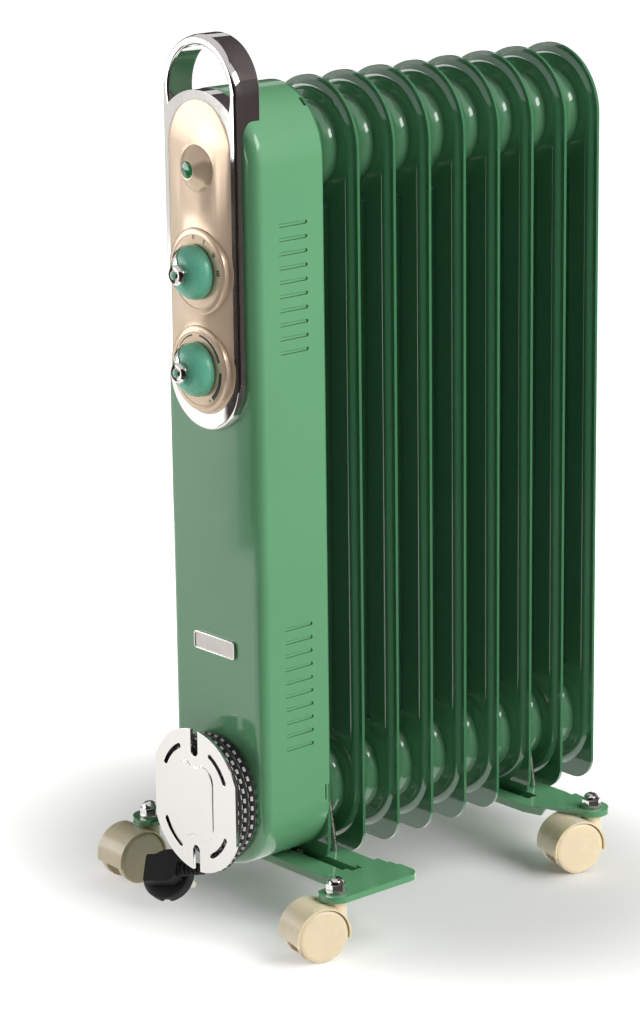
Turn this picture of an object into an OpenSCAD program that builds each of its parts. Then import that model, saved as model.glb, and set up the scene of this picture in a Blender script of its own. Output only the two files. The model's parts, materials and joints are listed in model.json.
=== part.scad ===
// Oil-filled radiator: nine pressed sections on two feet with castors, and a control cover with a cord reel.
// X is the width, Y runs from the controls back along the sections, Z is up and the floor is Z = 0.

/* [Sections] */
// Number of heating sections
section_count = 9; // [7:1:9]
// Distance from one section to the next
section_pitch = 34.4; // [32:0.2:38]
// Width of a section
section_w = 99.2; // [94:0.2:100]
// Height of a section
section_h = 580; // [540:1:620]
// Height of the sections' bottom edge above the floor
section_bottom = 37; // [37:0.5:40]
// Thickness of the two welded sheets at the rim
rim_t = 2.4; // [2:0.1:3]
// Width of the flat rim round the pocket
rim_w = 2.8; // [2:0.1:4]
// Thickness of the oil pocket
pocket_t = 9; // [8:0.2:11]
// Rounding of a section's bottom corners
skirt_r = 20; // [14:1:26]
// Height of the flat skirt under the pocket
skirt_h = 4; // [3:0.5:10]
// Radius of the hubs where they rise from the pocket
hub_r = 32; // [30:0.5:36]
// Radius of the hubs where two sections are welded together
hub_neck_r = 25.5; // [22:0.5:27]
// Radius of the oil way through the hubs
oil_way_r = 15; // [13:0.5:17]
// Depth of the closed hub on the last section, from its seam
end_hub_d = 13; // [11:0.5:16]

/* [Cover] */
// Width of the control cover
cover_w = 103; // [101:0.5:108]
// Depth of the control cover in front of the first section
cover_d = 64; // [60:0.5:72]
// Height of the cover's bottom above the sections' bottom edge
cover_lift = 6; // [5:0.5:12]
// Wall thickness of the cover
cover_wall = 1.5; // [1:0.1:2]
// Rounding of the cover's front edge
cover_edge_r = 9; // [6:0.5:12]
// Number of vent slots in each group
vent_count = 10; // [4:1:11]
// Distance between vent slots
vent_pitch = 10.1; // [8:0.1:11]
// Height of a vent slot
vent_h = 2.6; // [2:0.1:4]
// Length of a vent slot
vent_l = 26.5; // [18:0.5:32]
// Height of the lowest slot of the lower group
vent_low_z = 139; // [125:1:160]
// Height of the lowest slot of the upper group
vent_high_z = 433; // [400:1:440]

/* [Controls] */
// Width of the bright frame that carries the controls and forms the handle
frame_w = 81; // [78:0.5:84]
// Top of the handle above the cover
handle_rise = 38; // [34:0.5:44]
// Height of the frame's bottom end
frame_bottom = 373; // [368:0.5:378]
// Depth of the frame in front of the cover
frame_d = 5.8; // [5:0.1:8]
// Depth of the handle from front to back
handle_d = 23.2; // [20:0.2:30]
// Thickness of the handle's grip
grip_t = 7; // [6:0.5:9]
// Width of the control panel
panel_w = 68; // [66:0.5:70]
// Height of the control panel's bottom end
panel_bottom = 386; // [384:0.5:388]
// Height of the control panel's top end
panel_top = 610; // [606:0.5:611]
// Crown of the control panel
panel_crown = 3; // [2:0.2:4]
// Height of the upper dial's centre
selector_z = 489; // [486:0.5:492]
// Height of the lower dial's centre
thermostat_z = 419; // [418:0.5:422]
// Radius of a dial disc
dial_r = 31.4; // [29:0.2:32]
// Radius of a knob
knob_r = 19.6; // [18:0.2:22]
// Length of a knob from its back to the tip of its hub
knob_l = 20.5; // [18:0.5:24]
// Radius of a knob's spindle
spindle_r = 3; // [2.5:0.1:4]
// Height of the pilot lamp's centre
lamp_z = 562; // [560:0.5:564]

/* [Cord reel] */
// Height of the reel's centre
reel_z = 97.5; // [96:0.5:99]
// Width of the reel's front plate
reel_plate_w = 93.2; // [90:0.2:96]
// Height of the reel's front plate
reel_plate_h = 109; // [106:0.5:112]
// Thickness of the reel's front plate
reel_plate_t = 2.6; // [2:0.1:3.5]
// Space for the cord between the cover and the plate
reel_gap = 19.9; // [19.6:0.1:22]
// Half width of the drum that the cord lies on
drum_r = 31.6; // [30:0.2:32.6]

/* [Feet and castors] */
// Distance between the castor bolts across the part
castor_track = 216; // [210:1:222]
// Distance of the front castor bolts in front of the first section
castor_front = 45; // [42:1:48]
// Height of the feet's top face at the castor bolts
foot_top = 47; // [46.5:0.1:50]
// Thickness of the feet's sheet
foot_t = 2; // [1.6:0.1:2.5]
// Radius of a castor wheel
wheel_r = 20; // [18:0.2:20.2]
// Distance of the wheel axle from the castor's swivel axis
castor_trail = 17.5; // [16:0.5:19]
// Overall width of a castor
castor_w = 30; // [28:0.5:32]

/* [Hidden] */
$fn = 64;
CASTORS = ["front_left", "front_right", "rear_left", "rear_right"];
SECTIONS = [for (i = [1:section_count]) str("section_", i)];
FIXED = [
    "front_cover", "handle_frame", "control_panel", "lamp_lens", "lamp_holder", "control_bracket",
    "selector_switch", "thermostat_body", "thermal_cutout", "terminal_block", "wiring",
    "heating_element", "filler_plug", "badge_plate", "reel_drum", "reel_plate", "reel_screws",
    "cord_gland", "cover_screws", "front_foot", "rear_foot", "front_u_bolt", "rear_u_bolt",
    "wing_nuts", "castor_stems", "castor_washers", "cap_nuts"
];
TURNING = [
    "selector_spindle", "selector_knob", "selector_pointer",
    "thermostat_spindle", "thermostat_knob", "thermostat_pointer"
];
CORD = ["cord_core", "cord_winding", "cord_lead", "strain_relief", "plug", "plug_pins"];

enamel = "mediumseagreen";
cream = "wheat";
chrome = "silver";

running = 0.06;
fit = 0.05;
seat = 0.3;
eps = 0.01;

section_hw = section_w / 2;
section_top = section_bottom + section_h;
pocket_hw = section_hw - rim_w;
pocket_top_z = section_top - section_hw;
pocket_low_z = section_bottom + skirt_h + pocket_hw;
hub_low_z = pocket_low_z;
hub_top_z = pocket_top_z;
hub_d = section_pitch / 2;
skirt_screw_x = 17.8;
skirt_screw_z = section_bottom + 3.6;
groove_x = 20;
groove_r = 3.5;
groove_end = 45;
groove_depth = 2;

cover_hw = cover_w / 2;
cover_top = section_top;
cover_low_z = section_bottom + cover_lift + cover_hw;
cover_top_z = cover_top - cover_hw;
cover_back = -rim_t / 2;
cover_front = -cover_d;
vent_back_margin = 14.4;
cover_lip = 4.2;

frame_hw = frame_w / 2;
frame_top = cover_top + handle_rise;
frame_front = cover_front - frame_d;
frame_low_z = frame_bottom + frame_hw;
frame_top_z = frame_top - frame_hw;
handle_back = frame_front + handle_d;
handle_leg = 32;
frame_edge_r = 2.2;
panel_hw = panel_w / 2;
panel_low_z = panel_bottom + panel_hw;
panel_top_z = panel_top - panel_hw;
panel_t = 2.2;
panel_front = frame_front - panel_crown;
dial_front = panel_front - 1.8;
dial_rim = 5.4;
knob_back = dial_front - seat;
knob_tip = knob_back - knob_l;
hub_ring_r = 7.4;
pointer_w = 5.6;
spindle_end = cover_front + 30;
spindle_tip = knob_back - 8;
bracket_t = 1.5;
bracket_hw = 30;
bracket_low = 262;
bracket_top = 592;
bracket_front = cover_front + cover_wall;
bracket_back = bracket_front + bracket_t;
spindle_pass_r = spindle_r + 2;
lamp_pass_r = 7;
lamp_boss_r = 17.5;
lamp_tip_r = 7.6;
lamp_lens_r = 6.2;
lamp_boss_d = 8.6;
selector_turn = -37;
thermostat_turn = -40;
lens_back = panel_front - lamp_boss_d + 4;
wire_y = bracket_back + 6;
badge_z = 212.3;
badge_w = 46;
badge_h = 13.4;
badge_t = 2;
badge_rim = 1.1;
badge_corner_r = 2.8;
badge_sunk = 0.7;
element_hex_r = 21;
switch_size = [38, 26, 26];
stat_size = [44, 30, 24];
block_size = [46, 12, 15];
block_z = 285;
cutout_z = (hub_low_z + hub_top_z) / 2;
pin_x = 6.5;
pin_reach = 28;

reel_plate_front = cover_front - reel_gap - reel_plate_t;
reel_plate_back = cover_front - reel_gap;
reel_side = 22;
reel_notch_w = 7.8;
reel_notch_z = 34.5;
reel_slot_inset = 11.8;
reel_slot_w = 3.6;
reel_slot_arc = [27, 62];
reel_pad = [41.6, 58];
reel_pad_r = 13;
reel_pad_bite_r = 12.5;
reel_pad_rise = 0.8;
drum_flat = 3;
drum_wall = 2.4;
tube_r = 2.85;
row_pitch = 6.3;
row_count = 3;
cord_d = 6.2;
core_r = drum_r + seat + cord_d;
wind_ring_count = 24;
wind_leave = 46;
wind_start = 42;
cross_from = 360 - wind_leave + 8;
cross_turn = 56;
wind_r = (core_r + seat + tube_r) / cos(180 / wind_ring_count);
first_row_y = cover_front - tube_r - seat;
last_row_y = first_row_y - (row_count - 1) * row_pitch;

// The lead from the last turn to the strain relief.
lead_route = [
    [25.6, -67.2, 61.1], [22.3, -67.2, 57.7], [18.9, -67.2, 54.2], [15.6, -67.2, 50.8],
    [12.2, -67.2, 47.4], [8.5, -67.2, 44.4], [4.4, -67.3, 41.9], [0, -68, 40], [-4.4, -69.2, 38.7],
    [-8.8, -70.97, 37.88], [-10.13, -71.62, 37.65]
];
lead_sides = 10;
// The plug hangs below the reel and turns its back to the front. Its own axis runs from the pins to the back,
// and its cord leaves along its own X.
plug_at = [-46.4, -73.9, 21.3];
plug_turn = [52.1, -8.7, 26.6];
plug_r = 19.5;
plug_disc_h = 11;
plug_block = [22, 21, 13];
plug_neck_x = 15.5;
plug_neck_hw = 6.2;
plug_cord_h = 18;
plug_groove_w = 6.6;
plug_groove_d = 2;
relief_l = 20;
start_stub = 7;
pin_l = 19;
pin_r = 2.4;
pin_spread = 9.5;

reel_screw_x = 18;
cord_hole_r = 4;

mid_top = section_bottom + 5;
foot_steps = [74, 87, 98];
foot_step_drops = [2.6, 1.3, 0];
foot_hw = castor_track / 2 + 13;
flange_rise_x = 75;
mid_flange = section_bottom - 1;
bolt_hole_r = 4.1;
fin_slot_w = pocket_t + 1;
fin_slot_hw = [80, section_hw + 3];
slot_wall = 2;
castor_x = castor_track / 2;
rear_section = section_count - 3;
rear_foot_y = rear_section * section_pitch;
rear_bolt_back = 8.8;
castor_rear = rear_foot_y + rear_bolt_back;
front_foot_y = [-24, 26];
rear_foot_reach = [-17.4, 27.6];
rear_foot_edges = [rear_foot_y + rear_foot_reach[0], rear_foot_y + rear_foot_reach[1]];
rear_foot_wide_x = 60;
foot_corner_r = 10;
ear_r = 13;
flange_bottom = foot_top - 4.6;
u_bolt_r = 2;
u_bolt_turn = 9.6;
u_bolt_mid_r = hub_neck_r + seat + u_bolt_r;
u_bolt_end_z = 27;
u_bolt_leg_l = (hub_low_z + u_bolt_mid_r * sin(u_bolt_turn) - u_bolt_end_z) / cos(u_bolt_turn);
u_bolt_ys = [hub_d, rear_foot_y + hub_d];

hood_wall = 1.2;
hood_gap = 0.6;
hood_r = wheel_r + hood_gap + hood_wall;
hood_web = 13;
hood_cut = 4;
boss_r = 7.5;
boss_top = foot_top - foot_t - 1.7;
stem_r = 3.5;
stem_end = wheel_r - 2;
bolt_r = 4;
axle_r = 2.5;
wheel_gap = 0.5;
washer_t = 1.6;
nut_across = 13;
nut_h = 5;
castor_turns = [88, 77, 90, 74];
front_reach = -knob_tip;
rear_reach = (section_count - 1) * section_pitch + end_hub_d;
first_y = (front_reach - rear_reach) / 2;

function arc(cx, cy, r, from, to, n) =
    [for (i = [0:n]) let (a = from + (to - from) * i / n) [cx + r * cos(a), cy + r * sin(a)]];
function flip(pts) = [for (i = [len(pts) - 1:-1:0]) [pts[i][0], -pts[i][1]]];

// Sweeps a radius and depth outline round an upright oval whose round ends have the given centres.
module oval(low, high) {
    translate([0, 0, high]) rotate([-90, 0, 0]) rotate([0, 0, 180]) rotate_extrude(angle = 180) children();
    translate([0, 0, low]) rotate([-90, 0, 0]) rotate_extrude(angle = 180) children();
    translate([0, 0, low]) linear_extrude(high - low) {
        children();
        mirror([1, 0]) children();
    }
}
// Turns an outline of radius and depth about a line through the front.
module turned(x, z) {
    translate([x, 0, z]) rotate([-90, 0, 0]) rotate_extrude() children();
}
module rod(r, from, to, x, z) {
    translate([x, from, z]) rotate([-90, 0, 0]) cylinder(r = r, h = to - from);
}
module upright_sheet(from, to) {
    translate([0, to, 0]) rotate([90, 0, 0]) linear_extrude(to - from) children();
}
module mirrored() {
    children();
    mirror([1, 0, 0]) children();
}

module pocket_outline() {
    p = pocket_t / 2;
    bead = [
        [pocket_hw - 8, p - 0.8], [pocket_hw - 6.6, p - 0.2], [pocket_hw - 5, p], [pocket_hw - 3.4, p - 0.3],
        [pocket_hw - 2, p - 1.2], [pocket_hw - 0.6, rim_t / 2 + 0.5], [pocket_hw, rim_t / 2 - 0.2]
    ];
    polygon(concat([[0, p - 0.8]], bead, flip(bead), [[0, -p + 0.8]]));
}
module rim_outline() {
    low = section_bottom + skirt_r;
    translate([0, pocket_top_z]) circle(r = section_hw, $fn = 128);
    translate([-section_hw, low]) square([section_w, pocket_top_z - low]);
    translate([-section_hw + skirt_r, section_bottom]) square([section_w - 2 * skirt_r, skirt_r + eps]);
    for (s = [-1, 1]) translate([s * (section_hw - skirt_r), low]) circle(r = skirt_r);
}
module hub_side(depth, closed) {
    p = pocket_t / 2 - 1;
    collar = 3;
    rise = depth - collar - p;
    side = [for (i = [0:6]) let (a = 15 * i) [hub_neck_r + (hub_r - hub_neck_r) * cos(a), p + rise * sin(a)]];
    dome = [for (i = [0:8]) let (a = 11.25 * i) [hub_r * cos(a), p + (depth - p) * sin(a)]];
    polygon(concat([[0, 0], [hub_r, 0]], closed ? dome : concat(side, [[hub_neck_r, depth], [0, depth]])));
}
module section(i) {
    last = i == section_count - 1;
    color(enamel) translate([0, first_y + i * section_pitch, 0]) difference() {
        union() {
            upright_sheet(-rim_t / 2, rim_t / 2) rim_outline();
            oval(pocket_low_z, pocket_top_z) pocket_outline();
            for (z = [hub_low_z, hub_top_z]) {
                turned(0, z) hub_side(last ? end_hub_d : hub_d, last);
                turned(0, z) mirror([0, 1]) hub_side(hub_d, false);
            }
        }
        for (z = [hub_low_z, hub_top_z])
            rod(oil_way_r, -hub_d - 1, last ? end_hub_d - 5 : hub_d + 1, 0, z);
        for (x = [-groove_x, groove_x], s = [-1, 1])
            translate([x, s * (pocket_t / 2 - 0.8 - groove_depth + groove_r), 0]) section_groove();
        if (i == 0) for (x = [-skirt_screw_x, skirt_screw_x]) rod(2.05, -5, 5, x, skirt_screw_z);
    }
}
module section_groove() {
    low = hub_low_z + groove_end;
    high = hub_top_z - groove_end;
    translate([0, 0, low]) cylinder(r = groove_r, h = high - low);
    for (z = [low, high]) translate([0, 0, z]) sphere(r = groove_r);
}

// Shell of the cover as radius and depth, with a lip that turns in against the first section's rim.
function cover_shell(r, e, wall, lip) =
    concat(
        [[0, cover_front]], arc(r - e, cover_front + e, e, -90, 0, 5),
        [[r, cover_back], [r - lip, cover_back], [r - lip, cover_back - wall], [r - wall, cover_back - wall]],
        arc(r - e, cover_front + e, e - wall, 0, -90, 5), [[0, cover_front + wall]]
    );
function cover_solid(extra) = let (r = cover_hw + extra, e = cover_edge_r + extra, f = cover_front - extra)
    concat([[0, cover_back], [0, f]], arc(r - e, f + e, e, -90, 0, 5), [[r, cover_back]]);
module vent_slot() {
    back = cover_back - vent_back_margin;
    rotate([90, 0, 90]) linear_extrude(cover_w + 10, center = true) {
        translate([back - vent_l + vent_h / 2, -vent_h / 2]) square([vent_l - vent_h, vent_h]);
        for (y = [back - vent_h / 2, back - vent_l + vent_h / 2])
            translate([y, 0]) circle(d = vent_h, $fn = 24);
    }
}
module front_cover() {
    color(enamel) translate([0, first_y, 0]) difference() {
        oval(cover_low_z, cover_top_z) polygon(cover_shell(cover_hw, cover_edge_r, cover_wall, cover_lip));
        oval(pocket_low_z, pocket_top_z) polygon([
            [0, 1], [0, -pocket_t / 2 - seat], [pocket_hw - 3, -pocket_t / 2 - seat],
            [pocket_hw + seat, -2.5],
            [pocket_hw + seat, 1]
        ]);
        for (group = [vent_low_z, vent_high_z], i = [0:vent_count - 1])
            translate([0, 0, group + i * vent_pitch]) vent_slot();
        for (z = [selector_z, thermostat_z]) rod(spindle_pass_r, cover_front - 1, cover_front + 5, 0, z);
        rod(lamp_pass_r, cover_front - 1, cover_front + 5, 0, lamp_z);
        for (s = [-1, 1]) rod(2.1, cover_front - 1, cover_front + 5, s * reel_screw_x, reel_z);
        rod(cord_hole_r, cover_front - 1, cover_front + 5, 0, reel_z);
        mirrored() {
            translate([cover_hw - 1.6, cover_back - 4, hub_low_z + 1]) cube([8, 5, 15]);
            translate([0, 0, cover_top_z]) rotate([0, 40, 0])
                translate([-4, cover_back - 3, cover_hw - 2]) cube([8, 4, 3]);
        }
    }
}
module frame_block() {
    f = frame_front;
    polygon(concat(
        [[0, cover_front], [frame_hw, cover_front], [frame_hw - 0.4, cover_front - 2.5]],
        arc(frame_hw - frame_edge_r - 0.9, f + frame_edge_r, frame_edge_r, 0, -90, 4), [[0, f]]
    ));
}
// The handle is the same oval, deeper, above the cover's arch.
module handle_block() {
    f = frame_front;
    b = handle_back;
    polygon(concat(
        [[0, b]], arc(frame_hw - frame_edge_r, b - frame_edge_r, frame_edge_r, 90, 0, 4),
        [[frame_hw, cover_front], [frame_hw - 0.4, cover_front - 2.5]],
        arc(frame_hw - frame_edge_r - 0.9, f + frame_edge_r, frame_edge_r, 0, -90, 4), [[0, f]]
    ));
}
module finger_hole() {
    r = frame_hw - grip_t;
    flare = frame_edge_r;
    f = frame_front;
    b = handle_back;
    difference() {
        turned(0, frame_top_z) polygon(concat(
            [[0, f - 5], [r + flare, f - 5]],
            arc(r + flare, f + flare, flare, -90, -180, 4), arc(r + flare, b - flare, flare, 180, 90, 4),
            [[r + flare, b + 5], [0, b + 5]]
        ));
        rod(cover_hw - 0.5, f - 6, b + 6, 0, cover_top_z);
    }
}
module handle_frame() {
    color(chrome) translate([0, first_y, 0]) difference() {
        union() {
            oval(frame_low_z, frame_top_z) frame_block();
            intersection() {
                oval(frame_top_z - handle_leg, frame_top_z) handle_block();
                translate([-frame_w, frame_front - 5, frame_top_z - handle_leg])
                    cube([2 * frame_w, handle_d + 10, frame_w]);
            }
        }
        oval(cover_low_z, cover_top_z) polygon(cover_solid(fit));
        upright_sheet(frame_front - 5, cover_front + 5) panel_shape(0.2);
        finger_hole();
    }
}
module panel_shape(grow) {
    r = panel_hw + grow;
    translate([0, panel_top_z]) circle(r = r, $fn = 96);
    translate([0, panel_low_z]) circle(r = r, $fn = 96);
    translate([-r, panel_low_z]) square([2 * r, panel_top_z - panel_low_z]);
}
function crown(r, depth) = panel_front + depth + panel_crown * pow(r / panel_hw, 2);
module control_panel() {
    n = 8;
    inner_hw = panel_hw - panel_t;
    outer = [for (i = [0:n]) let (r = panel_hw * i / n) [r, crown(r, 0)]];
    inner = [for (i = [n:-1:0]) let (r = inner_hw * i / n) [r, crown(r, panel_t)]];
    color(cream) translate([0, first_y, 0]) difference() {
        union() {
            oval(panel_low_z, panel_top_z)
                polygon(concat(outer, [[panel_hw, cover_front], [inner_hw, cover_front]], inner));
            for (z = [selector_z, thermostat_z]) turned(0, z) dial_outline();
            turned(0, lamp_z) lamp_boss_outline();
        }
        for (z = [selector_z, thermostat_z]) rod(spindle_r + running, knob_back - 5, cover_front, 0, z);
        rod(lamp_lens_r + fit, panel_front - lamp_boss_d - 5, cover_front, 0, lamp_z);
    }
}
module dial_outline() {
    polygon([
        [0, dial_front], [dial_r - dial_rim, dial_front], [dial_r - dial_rim + 0.6, dial_front - 0.5],
        [dial_r - 2, dial_front - 0.2], [dial_r - 0.5, dial_front + 0.8], [dial_r, dial_front + 2.4],
        [dial_r, panel_front + panel_crown + 0.5], [dial_r - 4, panel_front + panel_crown + 0.5],
        [dial_r - 12, panel_front + 2], [0, panel_front + 1.5]
    ]);
}
module lamp_boss_outline() {
    tip = panel_front - lamp_boss_d;
    polygon([
        [0, tip + 0.6], [lamp_tip_r - 0.6, tip], [lamp_tip_r, tip + 0.4], [lamp_boss_r - 6, tip + 3.4],
        [lamp_boss_r - 2, tip + 6.6], [lamp_boss_r, tip + lamp_boss_d + 1],
        [lamp_boss_r - 2, panel_front + 2],
        [0, panel_front + 1.5]
    ]);
}
module lamp_lens() {
    tip = panel_front - lamp_boss_d;
    color("darkgreen") translate([0, first_y, 0]) turned(0, lamp_z)
        polygon(concat([[0, lens_back], [lamp_lens_r, lens_back]],
            [for (i = [0:6]) let (a = 15 * i) [lamp_lens_r * cos(a), tip - 1.6 * sin(a)]]));
}
module lamp_holder() {
    body_r = lamp_lens_r - 0.2;
    color("ivory") translate([0, first_y, 0]) turned(0, lamp_z) polygon([
        [0, lens_back], [body_r, lens_back], [body_r, bracket_back], [body_r + 3, bracket_back],
        [body_r + 3, bracket_back + 2], [body_r - 1, bracket_back + 2], [body_r - 1, bracket_back + 12],
        [0, bracket_back + 12]
    ]);
}
module control_bracket() {
    lip = 9;
    color("lightgray") translate([0, first_y, 0]) difference() {
        union() {
            translate([-bracket_hw, bracket_front, bracket_low])
                cube([2 * bracket_hw, bracket_t, bracket_top - bracket_low]);
            for (x = [-bracket_hw, bracket_hw - bracket_t]) translate([x, bracket_front, bracket_low])
                cube([bracket_t, lip, bracket_top - bracket_low]);
        }
        for (z = [selector_z, thermostat_z]) rod(spindle_pass_r, bracket_front - 1, bracket_back + 1, 0, z);
        rod(lamp_pass_r, bracket_front - 1, bracket_back + 1, 0, lamp_z);
    }
}
module control_body(size, z, tab_x) {
    difference() {
        union() {
            translate([-size[0] / 2, bracket_back, z - size[2] / 2]) cube(size);
            rod(spindle_pass_r - 0.4, cover_front + 0.5, bracket_back + 1, 0, z);
            for (x = tab_x) translate([x - 0.4, bracket_back + size[1] - 1, z - 3]) cube([0.8, 9, 6.3]);
        }
        rod(spindle_r + running, cover_front, spindle_end, 0, z);
    }
}
module selector_switch() {
    color("dimgray") translate([0, first_y, 0]) control_body(switch_size, selector_z, [-14, -5, 5, 14]);
}
module thermostat_body() {
    color("ivory") translate([0, first_y, 0]) control_body(stat_size, thermostat_z, [-12, 12]);
}
module thermal_cutout() {
    face = -pocket_t / 2 + 0.8;
    color("gray") translate([0, first_y, 0]) turned(0, cutout_z)
        polygon([[0, face], [8.5, face], [8.5, face - 5], [6.5, face - 5], [6.5, face - 8], [0, face - 8]]);
}
module terminal_block() {
    color("white") translate([0, first_y, 0]) difference() {
        translate([-block_size[0] / 2, bracket_back, block_z - block_size[2] / 2]) cube(block_size);
        for (i = [-1.5:1:1.5]) rod(2.4, bracket_back + block_size[1] - 6, bracket_back + 20, i * 11, block_z);
    }
}
module run(r, points) {
    for (i = [0:len(points) - 2]) let (a = points[i], v = points[i + 1] - a)
        translate(a) rotate([0, acos(v[2] / norm(v)), atan2(v[1], v[0])]) cylinder(r = r, h = norm(v));
    if (len(points) > 2) for (i = [1:len(points) - 2]) translate(points[i]) sphere(r = r);
}
module wiring() {
    wire_r = 1.4;
    sheath_r = cord_d / 2;
    mid_y = (first_row_y + last_row_y) / 2;
    block_low = block_z - block_size[2] / 2;
    block_high = block_z + block_size[2] / 2;
    lamp_tail_low = lamp_z - lamp_lens_r + 1.2;
    lamp_wire_bend = 24;
    color("gray") translate([0, first_y, 0]) {
        run(sheath_r, [
            [0, mid_y, reel_z + drum_flat + drum_r], [0, mid_y, reel_z],
            [0, wire_y, reel_z], [0, wire_y, block_low]
        ]);
        for (x = [-pin_x, pin_x])
            run(wire_r, [[x, wire_y, block_low], [x, wire_y, hub_low_z], [x, -hub_d - pin_reach, hub_low_z]]);
        for (x = [-3, 3])
            run(wire_r, [
                [x, wire_y, block_high], [x, wire_y, cutout_z], [x, 0.8 - pocket_t / 2 - 8, cutout_z]
            ]);
        run(wire_r, [[-12, wire_y, block_high], [-12, wire_y, thermostat_z - stat_size[2] / 2]]);
        run(wire_r, [
            [12, wire_y, thermostat_z + stat_size[2] / 2], [12, wire_y, selector_z - switch_size[2] / 2]
        ]);
        run(wire_r, [
            [-8, wire_y, selector_z + switch_size[2] / 2], [-8, wire_y, lamp_tail_low - lamp_wire_bend],
            [0, wire_y, lamp_tail_low - lamp_wire_bend / 2], [0, wire_y, lamp_tail_low]
        ]);
    }
}
module heating_element() {
    rod_r = 4;
    rod_x = pin_x;
    flange_d = 9;
    reach = (section_count - 2) * section_pitch;
    color("lightgray") translate([0, first_y, 0]) {
        translate([0, -hub_d - flange_d, hub_low_z]) rotate([-90, 0, 0])
            cylinder(r = element_hex_r, h = flange_d, $fn = 6);
        rod(oil_way_r - fit, -hub_d - 1, -hub_d + 10, 0, hub_low_z);
        for (x = [-rod_x, rod_x]) {
            rod(rod_r, -hub_d + 9, reach, x, hub_low_z);
            rod(1.8, -hub_d - pin_reach, -hub_d - flange_d + 1, x, hub_low_z);
        }
        translate([0, reach, hub_low_z]) rotate_extrude(angle = 180) translate([rod_x, 0]) circle(r = rod_r);
    }
}
module filler_plug() {
    color("lightgray") translate([0, first_y, 0]) {
        rod(oil_way_r + 3, -hub_d - 4, -hub_d, 0, hub_top_z);
        translate([0, -hub_d - 10, hub_top_z]) rotate([-90, 0, 0]) cylinder(r = 13, h = 7, $fn = 6);
        rod(oil_way_r - fit, -hub_d - 1, -hub_d + 8, 0, hub_top_z);
    }
}
module rounded_plate(w, h, r) {
    square([w - 2 * r, h], center = true);
    square([w, h - 2 * r], center = true);
    for (x = [-1, 1], y = [-1, 1]) translate([x * (w / 2 - r), y * (h / 2 - r)]) circle(r = r);
}
module badge_plate() {
    edge = badge_rim;
    color(chrome) translate([0, first_y, 0]) difference() {
        upright_sheet(cover_front - badge_t, cover_front) translate([0, badge_z])
            rounded_plate(badge_w, badge_h, badge_corner_r);
        upright_sheet(cover_front - badge_t - 1, cover_front - badge_t + badge_sunk) translate([0, badge_z])
            rounded_plate(badge_w - 2 * edge, badge_h - 2 * edge, badge_corner_r - edge);
    }
}

module knob(z) {
    back = knob_back;
    front = knob_tip + 6;
    color("seagreen") translate([0, first_y, 0]) difference() {
        turned(0, z) polygon(concat(
            [[0, back]], arc(knob_r - 1.2, back - 1.2, 1.2, 90, 0, 2),
            [for (i = [1:8]) let (a = 11.25 * i) [hub_ring_r - 2 + (knob_r - hub_ring_r + 2) * cos(a),
                back - 1.6 + (front - back + 1.6) * sin(a)]],
            [[0, front]]
        ));
        rod(spindle_r, spindle_tip, back + 1, 0, z);
    }
}
// Bright hub on a knob with the pointer strip that runs down the dome to its rim.
module pointer(z, turn) {
    tip = knob_tip;
    seat_y = knob_tip + 6;
    color(chrome) translate([0, first_y, 0]) {
        turned(0, z) polygon([
            [0, tip], [3.2, tip], [3.2, tip + 0.8], [4, tip + 0.8], [5.8, tip + 0.6], [hub_ring_r, tip + 2.2],
            [hub_ring_r, tip + 4.4], [hub_ring_r - 1.2, seat_y], [0, seat_y]
        ]);
        translate([0, 0, z]) rotate([0, turn, 0]) difference() {
            intersection() {
                translate([-pointer_w / 2, tip, 3]) cube([pointer_w, knob_l + 1, knob_r - 2]);
                turned(0, 0) polygon(strip_outline(0.9));
            }
            turned(0, 0) polygon(strip_outline(fit));
        }
    }
}
function strip_outline(extra) = concat(
    [[0, knob_back - 0.4], [knob_r + extra, knob_back - 0.4]],
    [for (i = [0:8]) let (a = 11.25 * i) [hub_ring_r - 2 + (knob_r - hub_ring_r + 2 + extra) * cos(a),
        knob_back - 1.6 + (knob_tip + 6 - extra - knob_back + 1.6) * sin(a)]],
    [[0, knob_tip + 6 - extra]]
);
module spindle(z) {
    color("lightgray") translate([0, first_y, 0]) rod(spindle_r, spindle_tip, spindle_end - 6, 0, z);
}
module selector_spindle() spindle(selector_z);
module selector_knob() knob(selector_z);
module selector_pointer() pointer(selector_z, selector_turn);
module thermostat_spindle() spindle(thermostat_z);
module thermostat_knob() knob(thermostat_z);
module thermostat_pointer() pointer(thermostat_z, thermostat_turn);

module reel_drum() {
    f = cover_front;
    b = reel_plate_back;
    mid_y = (first_row_y + last_row_y) / 2;
    color("dimgray") translate([0, first_y, 0]) difference() {
        union() {
            oval(reel_z - drum_flat, reel_z + drum_flat) polygon([
                [0, f], [drum_r, f], [drum_r, b],
                [drum_r - drum_wall, b], [drum_r - drum_wall, f - 2], [0, f - 2]
            ]);
            for (x = [-reel_screw_x, reel_screw_x]) rod(5, b, f - 1, x, reel_z);
        }
        for (x = [-reel_screw_x, reel_screw_x]) rod(1.6, b + 2, f + 1, x, reel_z);
        rod(cord_hole_r, b - 1, f + 1, 0, reel_z);
        translate([0, mid_y, reel_z]) cylinder(r = cord_hole_r, h = drum_r + drum_flat + 5);
    }
}
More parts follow.
